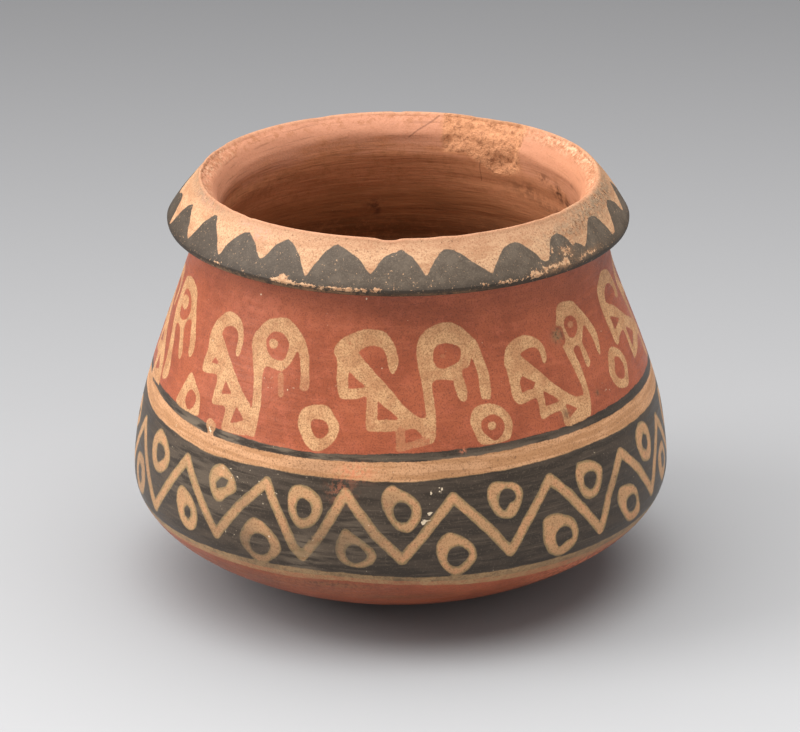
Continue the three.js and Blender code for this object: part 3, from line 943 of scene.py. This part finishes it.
def to_linear(*picture_colour):
    """A picture's red, green and blue, from 0 to 255, as the light that they reflect."""
    linear = [((value / BRIGHTEST + CURVE_OFFSET) / (1 + CURVE_OFFSET)) ** CURVE_POWER
              for value in picture_colour]
    return (*linear, 1)


class Nodes:
    """Adds nodes to a material. An input is a number, a colour or another node's output."""

    # Places of the colours among the sockets of a mix node
    COLOUR_A, COLOUR_B, COLOUR_RESULT = 6, 7, 2

    # Middle of the noise, and how far it strays to each side
    MIDDLE = 0.5
    SPREAD = 0.2

    def __init__(self, name):
        self.material = bpy.data.materials.new(name)
        self.material.use_nodes = True
        self.tree = self.material.node_tree
        self.shader = self.tree.nodes["Principled BSDF"]
        self.place = self.tree.nodes.new("ShaderNodeTexCoord").outputs["Object"]

    def set(self, socket, value):
        if isinstance(value, bpy.types.NodeSocket):
            self.tree.links.new(value, socket)
        else:
            socket.default_value = value

    def kept(self, name):
        """A number that is kept on the points of the mesh."""
        node = self.tree.nodes.new("ShaderNodeAttribute")
        node.attribute_name = name
        return node.outputs["Fac"]

    def math(self, operation, first, second):
        node = self.tree.nodes.new("ShaderNodeMath")
        node.operation = operation
        self.set(node.inputs[0], first)
        self.set(node.inputs[1], second)
        return node.outputs[0]

    def add(self, first, second):
        return self.math("ADD", first, second)

    def times(self, first, second):
        return self.math("MULTIPLY", first, second)

    def noise(self, size, detail=3, roughness=0.55, across=1, up=1):
        """Noise round 0.5 with features of a size in mm. A stretched one says how much closer
        together its features are across and up."""
        vector = self.place
        if across != up:
            stretched = self.tree.nodes.new("ShaderNodeVectorMath")
            stretched.operation = "MULTIPLY"
            self.set(stretched.inputs[0], self.place)
            stretched.inputs[1].default_value = (across, across, up)
            vector = stretched.outputs[0]
        node = self.tree.nodes.new("ShaderNodeTexNoise")
        self.set(node.inputs["Vector"], vector)
        node.inputs["Scale"].default_value = 1 / (size * MM)
        node.inputs["Detail"].default_value = detail
        node.inputs["Roughness"].default_value = roughness
        return node.outputs["Fac"]

    def wander(self, size, reach):
        """Noise round zero, which reaches about so many mm to each side."""
        return self.times(self.add(self.noise(size), -self.MIDDLE), reach / self.SPREAD)

    def ramp(self, value, low, high, start=0.0, end=1.0):
        node = self.tree.nodes.new("ShaderNodeMapRange")
        node.interpolation_type = "SMOOTHSTEP"
        self.set(node.inputs["Value"], value)
        node.inputs["From Min"].default_value = low
        node.inputs["From Max"].default_value = high
        node.inputs["To Min"].default_value = start
        node.inputs["To Max"].default_value = end
        return node.outputs[0]

    def edge(self, distance, softness, start=0.0, end=1.0):
        """Goes from start to end across the edge of a paint."""
        return self.ramp(distance, -softness, softness, start, end)

    def mix(self, share, first, second):
        node = self.tree.nodes.new("ShaderNodeMix")
        node.data_type = "RGBA"
        self.set(node.inputs["Factor"], share)
        self.set(node.inputs[self.COLOUR_A], first)
        self.set(node.inputs[self.COLOUR_B], second)
        return node.outputs[self.COLOUR_RESULT]

    def layered(self, colour, layers, where=None):
        """A colour with layers over it, each in patches of noise and where its spots are."""
        for over, spots, noise, (low, high), strength in layers:
            share = self.ramp(self.noise(*noise), low, high, 0, strength)
            if spots:
                share = self.times(self.kept(spots), share)
            if where:
                share = self.times(where, share)
            colour = self.mix(share, colour, over)
        return colour

    def bump(self, height, strength, distance, normal=None):
        node = self.tree.nodes.new("ShaderNodeBump")
        node.inputs["Strength"].default_value = strength
        node.inputs["Distance"].default_value = distance * MM
        self.set(node.inputs["Height"], height)
        if normal:
            self.set(node.inputs["Normal"], normal)
        return node.outputs[0]

    def finished(self, colour, roughness, gloss, normal=None):
        """The material, with its shader set."""
        self.set(self.shader.inputs["Base Color"], colour)
        self.set(self.shader.inputs["Roughness"], roughness)
        self.set(self.shader.inputs["Specular IOR Level"], gloss)
        if normal:
            self.set(self.shader.inputs["Normal"], normal)
        return self.material


RED_SLIP = to_linear(167, 86, 53)
RED_DEEP = to_linear(150, 74, 44)
RED_PALE = to_linear(184, 100, 66)
RED_ROSE = to_linear(180, 94, 65)
RED_WORN = to_linear(214, 126, 88)
RED_GRAIN = to_linear(98, 47, 30)
RED_HAZE_AND_SHEEN = to_linear(206, 118, 86)
CREAM_PAINT = to_linear(212, 162, 114)
CREAM_THIN = to_linear(192, 138, 94)
CREAM_SPECK = to_linear(146, 100, 62)
CREAM_PIT = to_linear(96, 64, 42)
BAND_CREAM = to_linear(210, 156, 112)
BAND_TAN = to_linear(184, 132, 88)
FRIEZE_CREAM = to_linear(200, 152, 106)
FRIEZE_ROSE = to_linear(212, 154, 108)
FRIEZE_EDGE = to_linear(150, 124, 84)
LINE_CREAM = to_linear(178, 143, 100)
DARK_PAINT = to_linear(68, 55, 43)
DARK_DEEP = to_linear(50, 39, 28)
DARK_SCRATCH_AND_SHEEN = to_linear(114, 98, 80)
SMOKE_STAIN = to_linear(140, 98, 64)
WHITE_FLECK = to_linear(226, 204, 172)
FLANGE_CREAM = to_linear(202, 160, 122)
FLANGE_TAN = to_linear(180, 134, 98)
FLANGE_LIP = to_linear(170, 124, 92)
FLANGE_SPECK = to_linear(160, 110, 78)
FLANGE_DARK = to_linear(84, 72, 60)
FLANGE_SHEEN = to_linear(112, 98, 83)
FLANGE_SHADE = to_linear(44, 36, 29)
FLANGE_BROWN = to_linear(134, 100, 72)
FLANGE_PITTED = to_linear(150, 124, 98)
FLANGE_ROSE = to_linear(196, 140, 118)
CLAY_PINK = to_linear(196, 135, 104)
CLAY_TAN = to_linear(190, 126, 87)
CLAY_BROWN = to_linear(158, 102, 64)
CLAY_DEEP = to_linear(112, 70, 40)
CLAY_BROKEN = to_linear(210, 146, 103)
CLAY_GRAIN = to_linear(146, 94, 62)
CLAY_STAIN = to_linear(92, 54, 34)
CLAY_CHIP = to_linear(224, 184, 148)
CRACK_DARK = to_linear(84, 52, 36)

# Kinds of noise are (size in mm, detail, roughness, and for a stretched one how much closer
# together its features are across and up). Layers are (colour, spots that it keeps to, kind of
# noise, the noise where it starts and where it is full, strength). Ramps say where one starts
# and is full, and its values there if they aren't 0 and 1. Bumps are (strength, depth in mm).
# Wanders are (size, reach) in mm.

# Half width of the soft edge of each paint
DARK_SOFTNESS = 0.08
CREAM_SOFTNESS = 0.1
BAND_SOFTNESS = 0.2

BRUSHED_EDGE = [(0.4, 0.03), (2.4, 0.09)]


def wandering(n, distance, wanders=BRUSHED_EDGE):
    """A distance into paint with the small wander of a brushed edge."""
    fine, broad = [n.wander(size, reach) for size, reach in wanders]
    return n.add(distance, n.add(fine, broad))


# The cream paint of the body

WALL_LAYERS = [
    (CREAM_PAINT, None, (2.5, 4), (0.38, 0.6), 1),
    (CREAM_SPECK, None, (0.24, 3, 0.65), (0.49, 0.61), 0.6),
]
BAND_LAYERS = [(BAND_CREAM, None, (1.2, 4, 0.6, 0.15, 1.6), (0.4, 0.6), 1)]
FRIEZE_LAYERS = [(FRIEZE_ROSE, None, (2, 4, 0.65), (0.45, 0.65), 1)]
# The frieze cream is greyed where the haze spots are: partly haze, partly painted sheen
DULLED_LAYERS = [(FRIEZE_EDGE, "haze_and_sheen", (1.6, 4, 0.65), (0.3, 0.55), 1)]
SPECK_LAYERS = [
    (CREAM_SPECK, None, (0.26, 3, 0.65), (0.5, 0.62), 0.6),
    (CREAM_PIT, None, (0.42, 3, 0.65), (0.6, 0.72), 0.65),
]
BAND_RAMP = (0.2, 0.5)
FRIEZE_RIM = [(0.5, 0.12), (1.8, 0.15)]
FRIEZE_RIM_RAMP = (0.08, 0.42)
THIN_PATCHES = (1.4, 4, 0.7)
THIN_RAMP = (0.4, 0.6)
RUBBED_PATCHES = (0.7, 4, 0.7)

# How well the cream covers the red and the dark frieze, how much it thins on the lowest line,
# and how well it covers where it is rubbed
COVER_ON_RED = 0.97
COVER_ON_DARK = 0.88
LINE_THINNING = 0.35
RUBBED_RAMP = (0.6, 0.7, 1, 0.6)


def cream_colour(n):
    """Warm cream on the wall, streaky on the band, duller at its edges over the dark frieze
    and on the lowest line."""
    cream = n.layered(CREAM_THIN, WALL_LAYERS)
    cream = n.mix(n.ramp(n.kept("dark"), *BAND_RAMP), cream, n.layered(BAND_TAN, BAND_LAYERS))
    core = n.ramp(wandering(n, n.kept("cream"), FRIEZE_RIM), *FRIEZE_RIM_RAMP)
    frieze = n.mix(core, FRIEZE_EDGE, n.layered(FRIEZE_CREAM, FRIEZE_LAYERS))
    frieze = n.layered(frieze, DULLED_LAYERS)
    cream = n.mix(n.edge(n.kept("frieze"), BAND_SOFTNESS), cream, frieze)
    cream = n.mix(n.edge(n.kept("line"), BAND_SOFTNESS), cream, LINE_CREAM)
    return n.layered(cream, SPECK_LAYERS)


def cream_cover(n):
    """How much of the cream paint still covers. It is thin over the dark frieze."""
    edge = n.edge(wandering(n, n.kept("cream")), CREAM_SOFTNESS)
    cover = n.times(edge, n.kept("cover"))
    thin = n.edge(n.kept("frieze"), BAND_SOFTNESS, COVER_ON_RED, COVER_ON_DARK)
    thinning = n.edge(n.kept("line"), BAND_SOFTNESS, 0, LINE_THINNING)
    patchy = n.times(thinning, n.ramp(n.noise(*THIN_PATCHES), *THIN_RAMP))
    rubbed = n.ramp(n.noise(*RUBBED_PATCHES), *RUBBED_RAMP)
    return n.times(n.times(cover, thin), n.times(n.add(1, n.times(patchy, -1)), rubbed))


# The painted body: red and dark slip with the cream paint over them, worn and stained, and paled by
# a haze that is partly painted sheen

STREAKS = (1.8, 4, 0.55, 0.3, 2.2)
WORN_THROUGH = (0.6, 3, 0.6)
# The red and dark slips are paled where the haze spots are: partly a pale haze, partly painted
# sheen
RED_LAYERS = [
    (RED_SLIP, None, (7, 4), (0.38, 0.62), 1),
    (RED_ROSE, None, (1.6, 4, 0.65), (0.46, 0.68), 0.5),
    (RED_PALE, None, STREAKS, (0.5, 0.7), 0.4),
    (RED_GRAIN, None, (0.22, 3, 0.65), (0.5, 0.62), 0.5),
    (RED_HAZE_AND_SHEEN, "haze_and_sheen", (1.4, 4, 0.65), (0.35, 0.65), 1),
]
# The dark slip's lighter colour marks scratches and specks, and is painted sheen over the haze
# spots
DARK_LAYERS = [
    (DARK_PAINT, None, STREAKS, (0.4, 0.62), 1),
    (DARK_SCRATCH_AND_SHEEN, None, (0.7, 3, 0.55, 0.12, 3), (0.58, 0.68), 0.28),
    (DARK_SCRATCH_AND_SHEEN, "haze_and_sheen", STREAKS, (0.4, 0.56), 1),
    (DARK_SCRATCH_AND_SHEEN, None, (0.28, 3, 0.65), (0.56, 0.68), 0.4),
]
WORN_LAYERS = [(RED_WORN, "red_wear", WORN_THROUGH, (0.42, 0.58), 1)]
STAIN_LAYERS = [(CREAM_PIT, None, WORN_THROUGH, (0.46, 0.56), 1)]
SMOKED_RAMP = (0.28, 0.45)
FLECKED = (0.55, 3, 0.5)
FLECK_SHARE = 0.35
FLECK_RAMP = (0.73, 0.82, 0, 0.9)
ROUGHNESS_RAMP = (0.35, 0.7, 0.36, 0.48)
CREAM_ROUGHNESS = 0.1
BODY_GLOSS = 0.38
BODY_GRAIN = (0.35, 3)
BODY_GRAIN_BUMP = (0.4, 0.06)
STREAK_BUMP = (0.5, 0.12)


def body_material():
    n = Nodes("painted body")
    on_dark = n.edge(wandering(n, n.kept("dark")), DARK_SOFTNESS)
    colour = n.mix(on_dark, n.layered(RED_DEEP, RED_LAYERS), n.layered(DARK_DEEP, DARK_LAYERS))
    cover = cream_cover(n)
    colour = n.mix(cover, colour, cream_colour(n))
    colour = n.layered(colour, WORN_LAYERS)
    smoked = n.times(n.kept("smoke"), n.ramp(n.noise(*WORN_THROUGH), *SMOKED_RAMP))
    colour = n.mix(smoked, colour, n.layered(SMOKE_STAIN, STAIN_LAYERS))
    flecks = n.add(n.noise(*FLECKED), n.times(n.kept("flecks"), FLECK_SHARE))
    colour = n.mix(n.ramp(flecks, *FLECK_RAMP), colour, WHITE_FLECK)
    streaks = n.noise(*STREAKS)
    roughness = n.add(n.ramp(streaks, *ROUGHNESS_RAMP), n.times(cover, CREAM_ROUGHNESS))
    grain = n.bump(n.noise(*BODY_GRAIN), *BODY_GRAIN_BUMP)
    return n.finished(colour, roughness, BODY_GLOSS, n.bump(streaks, *STREAK_BUMP, grain))


# The bare clay inside. It turns from one colour to the next between two heights, going up.

CLAY_LEVELS = [(CLAY_BROWN, 42, 48.5), (CLAY_TAN, 47.5, 53.5), (CLAY_PINK, 56, 59.6)]

# How far in mm those heights wander, move with the wiping, and sink at the right and the left.
# Sinking them at the left is painted light on the inner left wall, where the lamps leave shade.
WIPED_CLAY = (1.8, 4, 0.6, 0.22, 2.2)
LEVEL_WANDER = (8, 1.6)
LEVEL_WIPED = 7
LEVEL_AT_RIGHT = 3.4
PAINTED_LIGHT_AT_LEFT = 2

LINED_LAYERS = [(CLAY_STAIN, None, (0.8, 3, 0.55, 0.12, 2.6), (0.56, 0.68), 0.3)]
MOTTLED_LAYERS = [(CLAY_BROWN, None, (1.5, 6, 0.75), (0.46, 0.64), 0.5)]
MOTTLED_RAMP = (56, 60, 1, 0.25)
# The inner right side is mixed towards tan: painted shade where the left lamp lights it
PAINTED_SHADE_AT_RIGHT = 0.4
STAINED_LAYERS = [
    (CLAY_BROWN, None, (0.35, 3, 0.65), (0.54, 0.66), 0.28),
    (CLAY_STAIN, "stain", (1.2, 4, 0.6), (0.38, 0.6), 1),
]
BROKEN_LAYERS = [(CLAY_GRAIN, None, (0.9, 6, 0.75), (0.48, 0.66), 0.8)]
SPALL_WANDER = (0.9, 0.25)
SPALLED_RAMP = (-0.4, 0.5)
LIP_RAMP = (59.8, 61)
LIP_LAYERS = [(CLAY_BROWN, None, (1.1, 6, 0.75), (0.47, 0.6), 0.6)]
LIP_RIGHT_RAMP = (0.5, 0.85)
LIP_LEFT_RAMP = (0.8, 0.98)
LIP_SIDE_LAYERS = [
    (CLAY_CHIP, None, (0.8, 5, 0.75), (0.5, 0.6), 0.4),
    (CLAY_GRAIN, None, (0.6, 5, 0.8), (0.5, 0.42), 0.8),
]
CHIP_SHARE = 0.9
CHIP_WANDER = (0.5, 0.16)
CHIP_RAMP = (0.14, 0.3, 0, 0.6)
CRACK_RAMP = (0.04, 0.16, 0.5, 0)
SPALL_BUMP_RAMP = (-0.1, 0.3)
SPALL_BUMP_GRAIN = (0.9, 6, 0.7)
SPALL_BUMP = (1, 0.5)
WIPED_GRAIN = (0.9, 4, 0.55, 0.2, 2.4)
WIPED_BUMP = (0.6, 0.14)
CLAY_ROUGHNESS = 0.7
CLAY_GLOSS = 0.25


def clay_colour(n):
    """Smoothed pinkish clay at the mouth, which turns brown and then dark further down. The left
    wall gets painted light and the right side painted shade.
    """
    right, left = n.kept("right"), n.kept("left")
    wiped = n.times(n.add(n.noise(*WIPED_CLAY), -n.MIDDLE), LEVEL_WIPED)
    level = n.add(n.add(n.kept("level"), n.wander(*LEVEL_WANDER)), wiped)
    level = n.add(level, n.times(right, LEVEL_AT_RIGHT))
    # Painted light on the inner left wall
    level = n.add(level, n.times(left, PAINTED_LIGHT_AT_LEFT))
    colour = CLAY_DEEP
    for over, low, high in CLAY_LEVELS:
        colour = n.mix(n.ramp(level, low, high), colour, over)
    colour = n.layered(colour, LINED_LAYERS)
    colour = n.layered(colour, MOTTLED_LAYERS, n.ramp(level, *MOTTLED_RAMP))
    # Painted shade on the inner right side
    colour = n.mix(n.times(right, PAINTED_SHADE_AT_RIGHT), colour, CLAY_TAN)
    colour = n.layered(colour, STAINED_LAYERS)
    spalled = n.ramp(n.add(n.kept("spall"), n.wander(*SPALL_WANDER)), *SPALLED_RAMP)
    colour = n.mix(spalled, colour, n.layered(CLAY_BROKEN, BROKEN_LAYERS))
    on_lip = n.ramp(n.kept("level"), *LIP_RAMP)
    colour = n.layered(colour, LIP_LAYERS, on_lip)
    sides = n.add(n.ramp(right, *LIP_RIGHT_RAMP), n.ramp(left, *LIP_LEFT_RAMP))
    colour = n.layered(colour, LIP_SIDE_LAYERS, n.times(sides, on_lip))
    chip = n.add(n.times(n.kept("chip"), CHIP_SHARE), n.wander(*CHIP_WANDER))
    colour = n.mix(n.ramp(chip, *CHIP_RAMP), colour, CLAY_CHIP)
    return n.mix(n.ramp(n.kept("crack"), *CRACK_RAMP), colour, CRACK_DARK)


def spall_bump(n, normal):
    """The clay is grainy where the flake has come off."""
    on_spall = n.ramp(n.kept("spall"), *SPALL_BUMP_RAMP)
    grain = n.add(n.noise(*SPALL_BUMP_GRAIN), -n.MIDDLE)
    return n.bump(n.times(on_spall, grain), *SPALL_BUMP, normal)


def clay_material():
    n = Nodes("bare clay")
    normal = spall_bump(n, n.bump(n.noise(*WIPED_GRAIN), *WIPED_BUMP))
    return n.finished(clay_colour(n), CLAY_ROUGHNESS, CLAY_GLOSS, normal)


# The painted flange

FLANGE_PITS = (0.8, 4, 0.7)
WIPED_LAYERS = [
    (FLANGE_CREAM, None, (2.2, 4, 0.6, 0.4, 1.6), (0.36, 0.56), 1),
    (FLANGE_TAN, None, (0.6, 4, 0.65, 0.15, 1.2), (0.5, 0.66), 0.6),
]
LIP_BROWN_RAMP = (58.8, 61.8, 0, 0.6)
PITTED_LAYERS = [
    (FLANGE_SPECK, None, (0.25, 3, 0.65), (0.48, 0.6), 0.65),
    (CREAM_PIT, None, (0.4, 3, 0.65), (0.58, 0.7), 0.7),
    (FLANGE_PITTED, "grey", FLANGE_PITS, (0.4, 0.56), 1),
    (CLAY_DEEP, "grey", (0.35, 3, 0.7), (0.53, 0.62), 1),
    (FLANGE_ROSE, "pink", (0.7, 3), (0.4, 0.6), 1),
]
# Patches and specks of lighter colour on the dark paint: scuffs and painted sheen
SCUFFS_AND_SHEEN_LAYERS = [
    (FLANGE_SHEEN, None, (2, 5, 0.65), (0.42, 0.66), 0.55),
    (FLANGE_SHEEN, None, (0.23, 3, 0.65), (0.5, 0.62), 0.5),
]
EDGE_SHADE_RAMP = (54.8, 56.8, 0.8, 0)
SHADE_AT_LEFT = 0.5
BROWN_LAYERS = [
    (FLANGE_BROWN, "brown", (0.9, 4, 0.7), (0.36, 0.56), 1),
    (FLANGE_CREAM, None, (0.34, 3, 0.65), (0.62, 0.74), 0.9),
]
CRUMBLED = (0.7, 6, 0.75)
WEAR_SHARE = 0.3
CRUMBLED_RAMP = (0.7, 0.735)
CRUMB_LAYERS = [(FLANGE_CREAM, None, (0.5, 3), (0.4, 0.6), 1)]
FLANGE_GRAIN = (0.35, 4, 0.6)
FLANGE_GRAIN_BUMP = (0.6, 0.1)
FLANGE_PIT_BUMP = (0.8, 0.4)
FLANGE_ROUGHNESS = 0.6


def flange_cream(n):
    """Cream slip, pitted and grey in places, with a rosy smudge."""
    cream = n.layered(FLANGE_TAN, WIPED_LAYERS)
    cream = n.mix(n.ramp(n.kept("level"), *LIP_BROWN_RAMP), cream, FLANGE_LIP)
    return n.layered(cream, PITTED_LAYERS)


def flange_dark(n):
    """Brown-black paint, with painted sheen in patches and painted shade on the lower edge and at
    the left. The lower edge is chipped and crumbly.
    """
    dark = n.layered(FLANGE_DARK, SCUFFS_AND_SHEEN_LAYERS)
    # Painted shade on the lower edge and at the left
    dark = n.mix(n.ramp(n.kept("level"), *EDGE_SHADE_RAMP), dark, FLANGE_SHADE)
    dark = n.mix(n.times(n.kept("left"), SHADE_AT_LEFT), dark, FLANGE_SHADE)
    dark = n.layered(dark, BROWN_LAYERS)
    crumbled = n.add(n.noise(*CRUMBLED), n.times(n.kept("wear"), WEAR_SHARE))
    return n.mix(n.ramp(crumbled, *CRUMBLED_RAMP), dark, n.layered(FLANGE_TAN, CRUMB_LAYERS))


def flange_material():
    n = Nodes("painted flange")
    on_dark = n.edge(wandering(n, n.kept("dark")), DARK_SOFTNESS)
    painted = n.mix(on_dark, flange_cream(n), flange_dark(n))
    colour = n.mix(n.kept("inside"), painted, clay_colour(n))
    pits = n.times(n.kept("grey"), n.noise(*FLANGE_PITS))
    grain = n.bump(n.noise(*FLANGE_GRAIN), *FLANGE_GRAIN_BUMP)
    normal = spall_bump(n, n.bump(pits, *FLANGE_PIT_BUMP, grain))
    return n.finished(colour, FLANGE_ROUGHNESS, CLAY_GLOSS, normal)


body_paint = body_material()
flange_paint = flange_material()
bare_clay = clay_material()


# Members of the jar

def finish_member(piece, node, paint, bare_faces):
    """Gives a member its paint outside and bare clay inside, and its place in the frame."""
    piece.data.materials.append(paint)
    piece.data.materials.append(bare_clay)
    piece.data.polygons.foreach_set("material_index", bare_faces)
    piece.data.update()
    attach(piece, "root")
    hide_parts(node)


def coil_rows(low, high):
    """Rows of a coil up its outside and down its inside, and how many are outside."""
    outer = between(outside, low, high, OUTER_ROW)
    inner = between(inside, low + JOINT_LAP, high + JOINT_LAP, INNER_ROW)[::-1]
    return np.vstack([outer, inner]), len(outer)


def bowl_rows():
    """Rows of the bowl from the middle of its foot, over its rim, to the middle of its floor.
    The flat spot has one each millimetre."""
    rest_radii = np.arange(1, REST_RADIUS)
    rest = np.column_stack([rest_radii, 0 * rest_radii])
    outer = between(outside, 0, BOWL_HEIGHT, BOWL_ROW)
    inner = between(inside, FLOOR_THICKNESS, BOWL_HEIGHT + JOINT_LAP, FLOOR_ROW)[:0:-1]
    return np.vstack([rest, outer, inner]), len(rest) + len(outer)


def make_body_member(node, slot, rows, outer_count, on_axis=False):
    share = (np.arange(len(rows)) >= outer_count).astype(float)
    piece, angle, height = make_member(node + "_looks", rows, share, 0 * share, on_axis)
    paint_body(piece, angle, height)
    mark_inside(piece, angle, height, share[:, None] * np.ones(COLUMNS))
    bare = (np.arange(len(rows)) >= outer_count - 1).astype(np.int32).repeat(COLUMNS)
    if on_axis:
        caps = np.tile([0, 1], COLUMNS)
        bare = np.concatenate([bare[:-COLUMNS], caps]).astype(np.int32)
    finish_member(piece, node, body_paint, bare)


def flange_rows():
    """Rows of the flange from its foot round to its seat, with how much each is inside and
    how far each is up the flange from its foot."""
    lip_outer = LIP_RADIUS + LIP_THICKNESS / 2
    lip_inner = LIP_RADIUS - LIP_THICKNESS / 2
    edge_start = (EDGE_RADIUS - FLANGE_EDGE, FLANGE_FOOT)
    crown = ((EDGE_RADIUS + lip_outer) / 2 + FLANGE_CROWN,
             (EDGE_TOP + LIP_SHOULDER) / 2 + FLANGE_CROWN)
    under = spaced(np.array([(NECK_RADIUS, NECK_HEIGHT), edge_start]), FLANGE_ROW)
    edge = spaced(quadratic(edge_start, (EDGE_RADIUS, FLANGE_FOOT), (EDGE_RADIUS, EDGE_TOP)),
                  FLANGE_ROW)
    slope = spaced(quadratic((EDGE_RADIUS, EDGE_TOP), crown, (lip_outer, LIP_SHOULDER)),
                   FLANGE_ROW)
    lip = spaced(quadratic((lip_outer, LIP_SHOULDER), (LIP_RADIUS, LIP_SHOULDER + LIP_THICKNESS),
                           (lip_inner, LIP_SHOULDER)), LIP_ROW)
    flare = spaced(quadratic((lip_inner, LIP_SHOULDER), (inner_neck, SEAT_HEIGHT + MOUTH_FLARE),
                             (inner_neck, SEAT_HEIGHT)), FLANGE_ROW)
    rows = np.vstack([under, edge[1:], slope[1:], lip[1:], flare[1:]])
    lip_start = len(under) + len(edge) + len(slope) - 3
    share = np.clip((np.arange(len(rows)) - lip_start) / (len(lip) - 1), 0, 1)
    run = path_lengths(rows)
    return rows, share, run - run[len(under) - 1]


def make_flange():
    rows, share, run = flange_rows()
    slope_end = run[share == 0][-1]
    on_edge = smoothstep(run, run[0], 0) * (1 - smoothstep(run, FLANGE_EDGE, slope_end))
    piece, angle, height = make_member("rim_flange_looks", rows, share, EDGE_SHIFT * on_edge)
    across = np.ones(COLUMNS)
    paint_flange(piece, angle, run[:, None] * across)
    mark_inside(piece, angle, height, share[:, None] * across)
    finish_member(piece, "rim_flange", flange_paint,
                  np.zeros(len(rows) * COLUMNS, np.int32))


COILS = [
    ("belly_coil", "dark_frieze"),
    ("lower_shoulder_coil", "banded_slip"),
    ("upper_shoulder_coil", "red_slip"),
    ("neck_coil", "red_slip"),
]

make_body_member("base_bowl", "red_slip", *bowl_rows(), on_axis=True)
for place, (node, slot) in enumerate(COILS):
    foot = BOWL_HEIGHT + place * COIL_HEIGHT
    make_body_member(node, slot, *coil_rows(foot, foot + COIL_HEIGHT))
make_flange()


# Floor, backdrop, lamps and camera. Lengths are metres from here on.

# The floor is painted darker towards the back: painted shade for the light that falls off away from
# the jar
FLOOR_NEAR = to_linear(170, 170, 171)
FLOOR_FAR_SHADED = to_linear(87, 87, 88)
FLOOR_ROUGHNESS = 0.9
FLOOR_GLOSS = 0.1
FADE_START = -0.22
FADE_END = 0.42

STAGE_HALF_WIDTH = 3
STAGE_FRONT = -1.5
STAGE_BACK = 1.2
STAGE_BEND = 0.8
STAGE_HEIGHT = 2
STAGE_BEND_STEPS = 12

# Round soft lamps: (name, place, width, power in watts)
LAMPS = [
    ("overhead", (-0.12, 0.12, 1.15), 2.2, 36),
    ("left", (-1.15, -0.1, 0.75), 0.8, 11.5),
]
LAMP_AIM = Vector((0, 0, 0.03))
WORLD_LIGHT = 0.65

# The camera, fitted to the photograph. Its angles are in radians.
CAMERA_PLACE = (0.0001, -0.7969, 0.3480)
CAMERA_PITCH = 0.378314
CAMERA_ROLL = -0.01517
FOCAL_PIXELS = 5754.28
FRAME_WIDTH_PIXELS = 800
SENSOR_WIDTH_MM = 36


def floor_material():
    n = Nodes("pale floor")
    parts = n.tree.nodes.new("ShaderNodeSeparateXYZ")
    n.set(parts.inputs[0], n.place)
    falloff_shade = n.ramp(parts.outputs["Y"], FADE_START, FADE_END)
    return n.finished(n.mix(falloff_shade, FLOOR_NEAR, FLOOR_FAR_SHADED), FLOOR_ROUGHNESS, FLOOR_GLOSS)


def make_floor():
    """A sheet that runs back from the jar and bends up into a backdrop."""
    profile = [(STAGE_FRONT, 0), (STAGE_BACK, 0)]
    for step in range(1, STAGE_BEND_STEPS + 1):
        angle = math.pi / 2 * step / STAGE_BEND_STEPS
        profile.append((STAGE_BACK + STAGE_BEND * math.sin(angle),
                        STAGE_BEND * (1 - math.cos(angle))))
    profile.append((STAGE_BACK + STAGE_BEND, STAGE_HEIGHT))
    sides = (-STAGE_HALF_WIDTH, STAGE_HALF_WIDTH)
    vertices = [(side, y, z) for side in sides for y, z in profile]
    count = len(profile)
    faces = [(i, i + count, i + count + 1, i + 1) for i in range(count - 1)]
    mesh = bpy.data.meshes.new("floor")
    mesh.from_pydata(vertices, [], faces)
    mesh.materials.append(floor_material())
    floor = bpy.data.objects.new("floor", mesh)
    bpy.context.scene.collection.objects.link(floor)


def add_lamp(name, place, size, power):
    """A round soft lamp that points at the jar."""
    light = bpy.data.lights.new(name, "AREA")
    light.shape = "DISK"
    light.size = size
    light.energy = power
    lamp = bpy.data.objects.new(name, light)
    lamp.location = place
    lamp.rotation_euler = (LAMP_AIM - Vector(place)).to_track_quat("-Z", "Y").to_euler()
    bpy.context.scene.collection.objects.link(lamp)


def light_world():
    """Even white light from all sides."""
    world = bpy.data.worlds.new("studio")
    world.use_nodes = True
    background = world.node_tree.nodes["Background"]
    background.inputs["Color"].default_value = (1, 1, 1, 1)
    background.inputs["Strength"].default_value = WORLD_LIGHT
    bpy.context.scene.world = world


def add_camera():
    lens = bpy.data.cameras.new("camera")
    lens.sensor_width = SENSOR_WIDTH_MM
    lens.lens = FOCAL_PIXELS / FRAME_WIDTH_PIXELS * SENSOR_WIDTH_MM
    camera = bpy.data.objects.new("camera", lens)
    pitch = Matrix.Rotation(math.pi / 2 - CAMERA_PITCH, 4, "X")
    roll = Matrix.Rotation(CAMERA_ROLL, 4, "Z")
    camera.matrix_world = Matrix.Translation(CAMERA_PLACE) @ (pitch @ roll)
    bpy.context.scene.collection.objects.link(camera)
    bpy.context.scene.camera = camera


make_floor()
for lamp in LAMPS:
    add_lamp(*lamp)
light_world()
add_camera()
bpy.context.scene.view_settings.view_transform = "Standard"
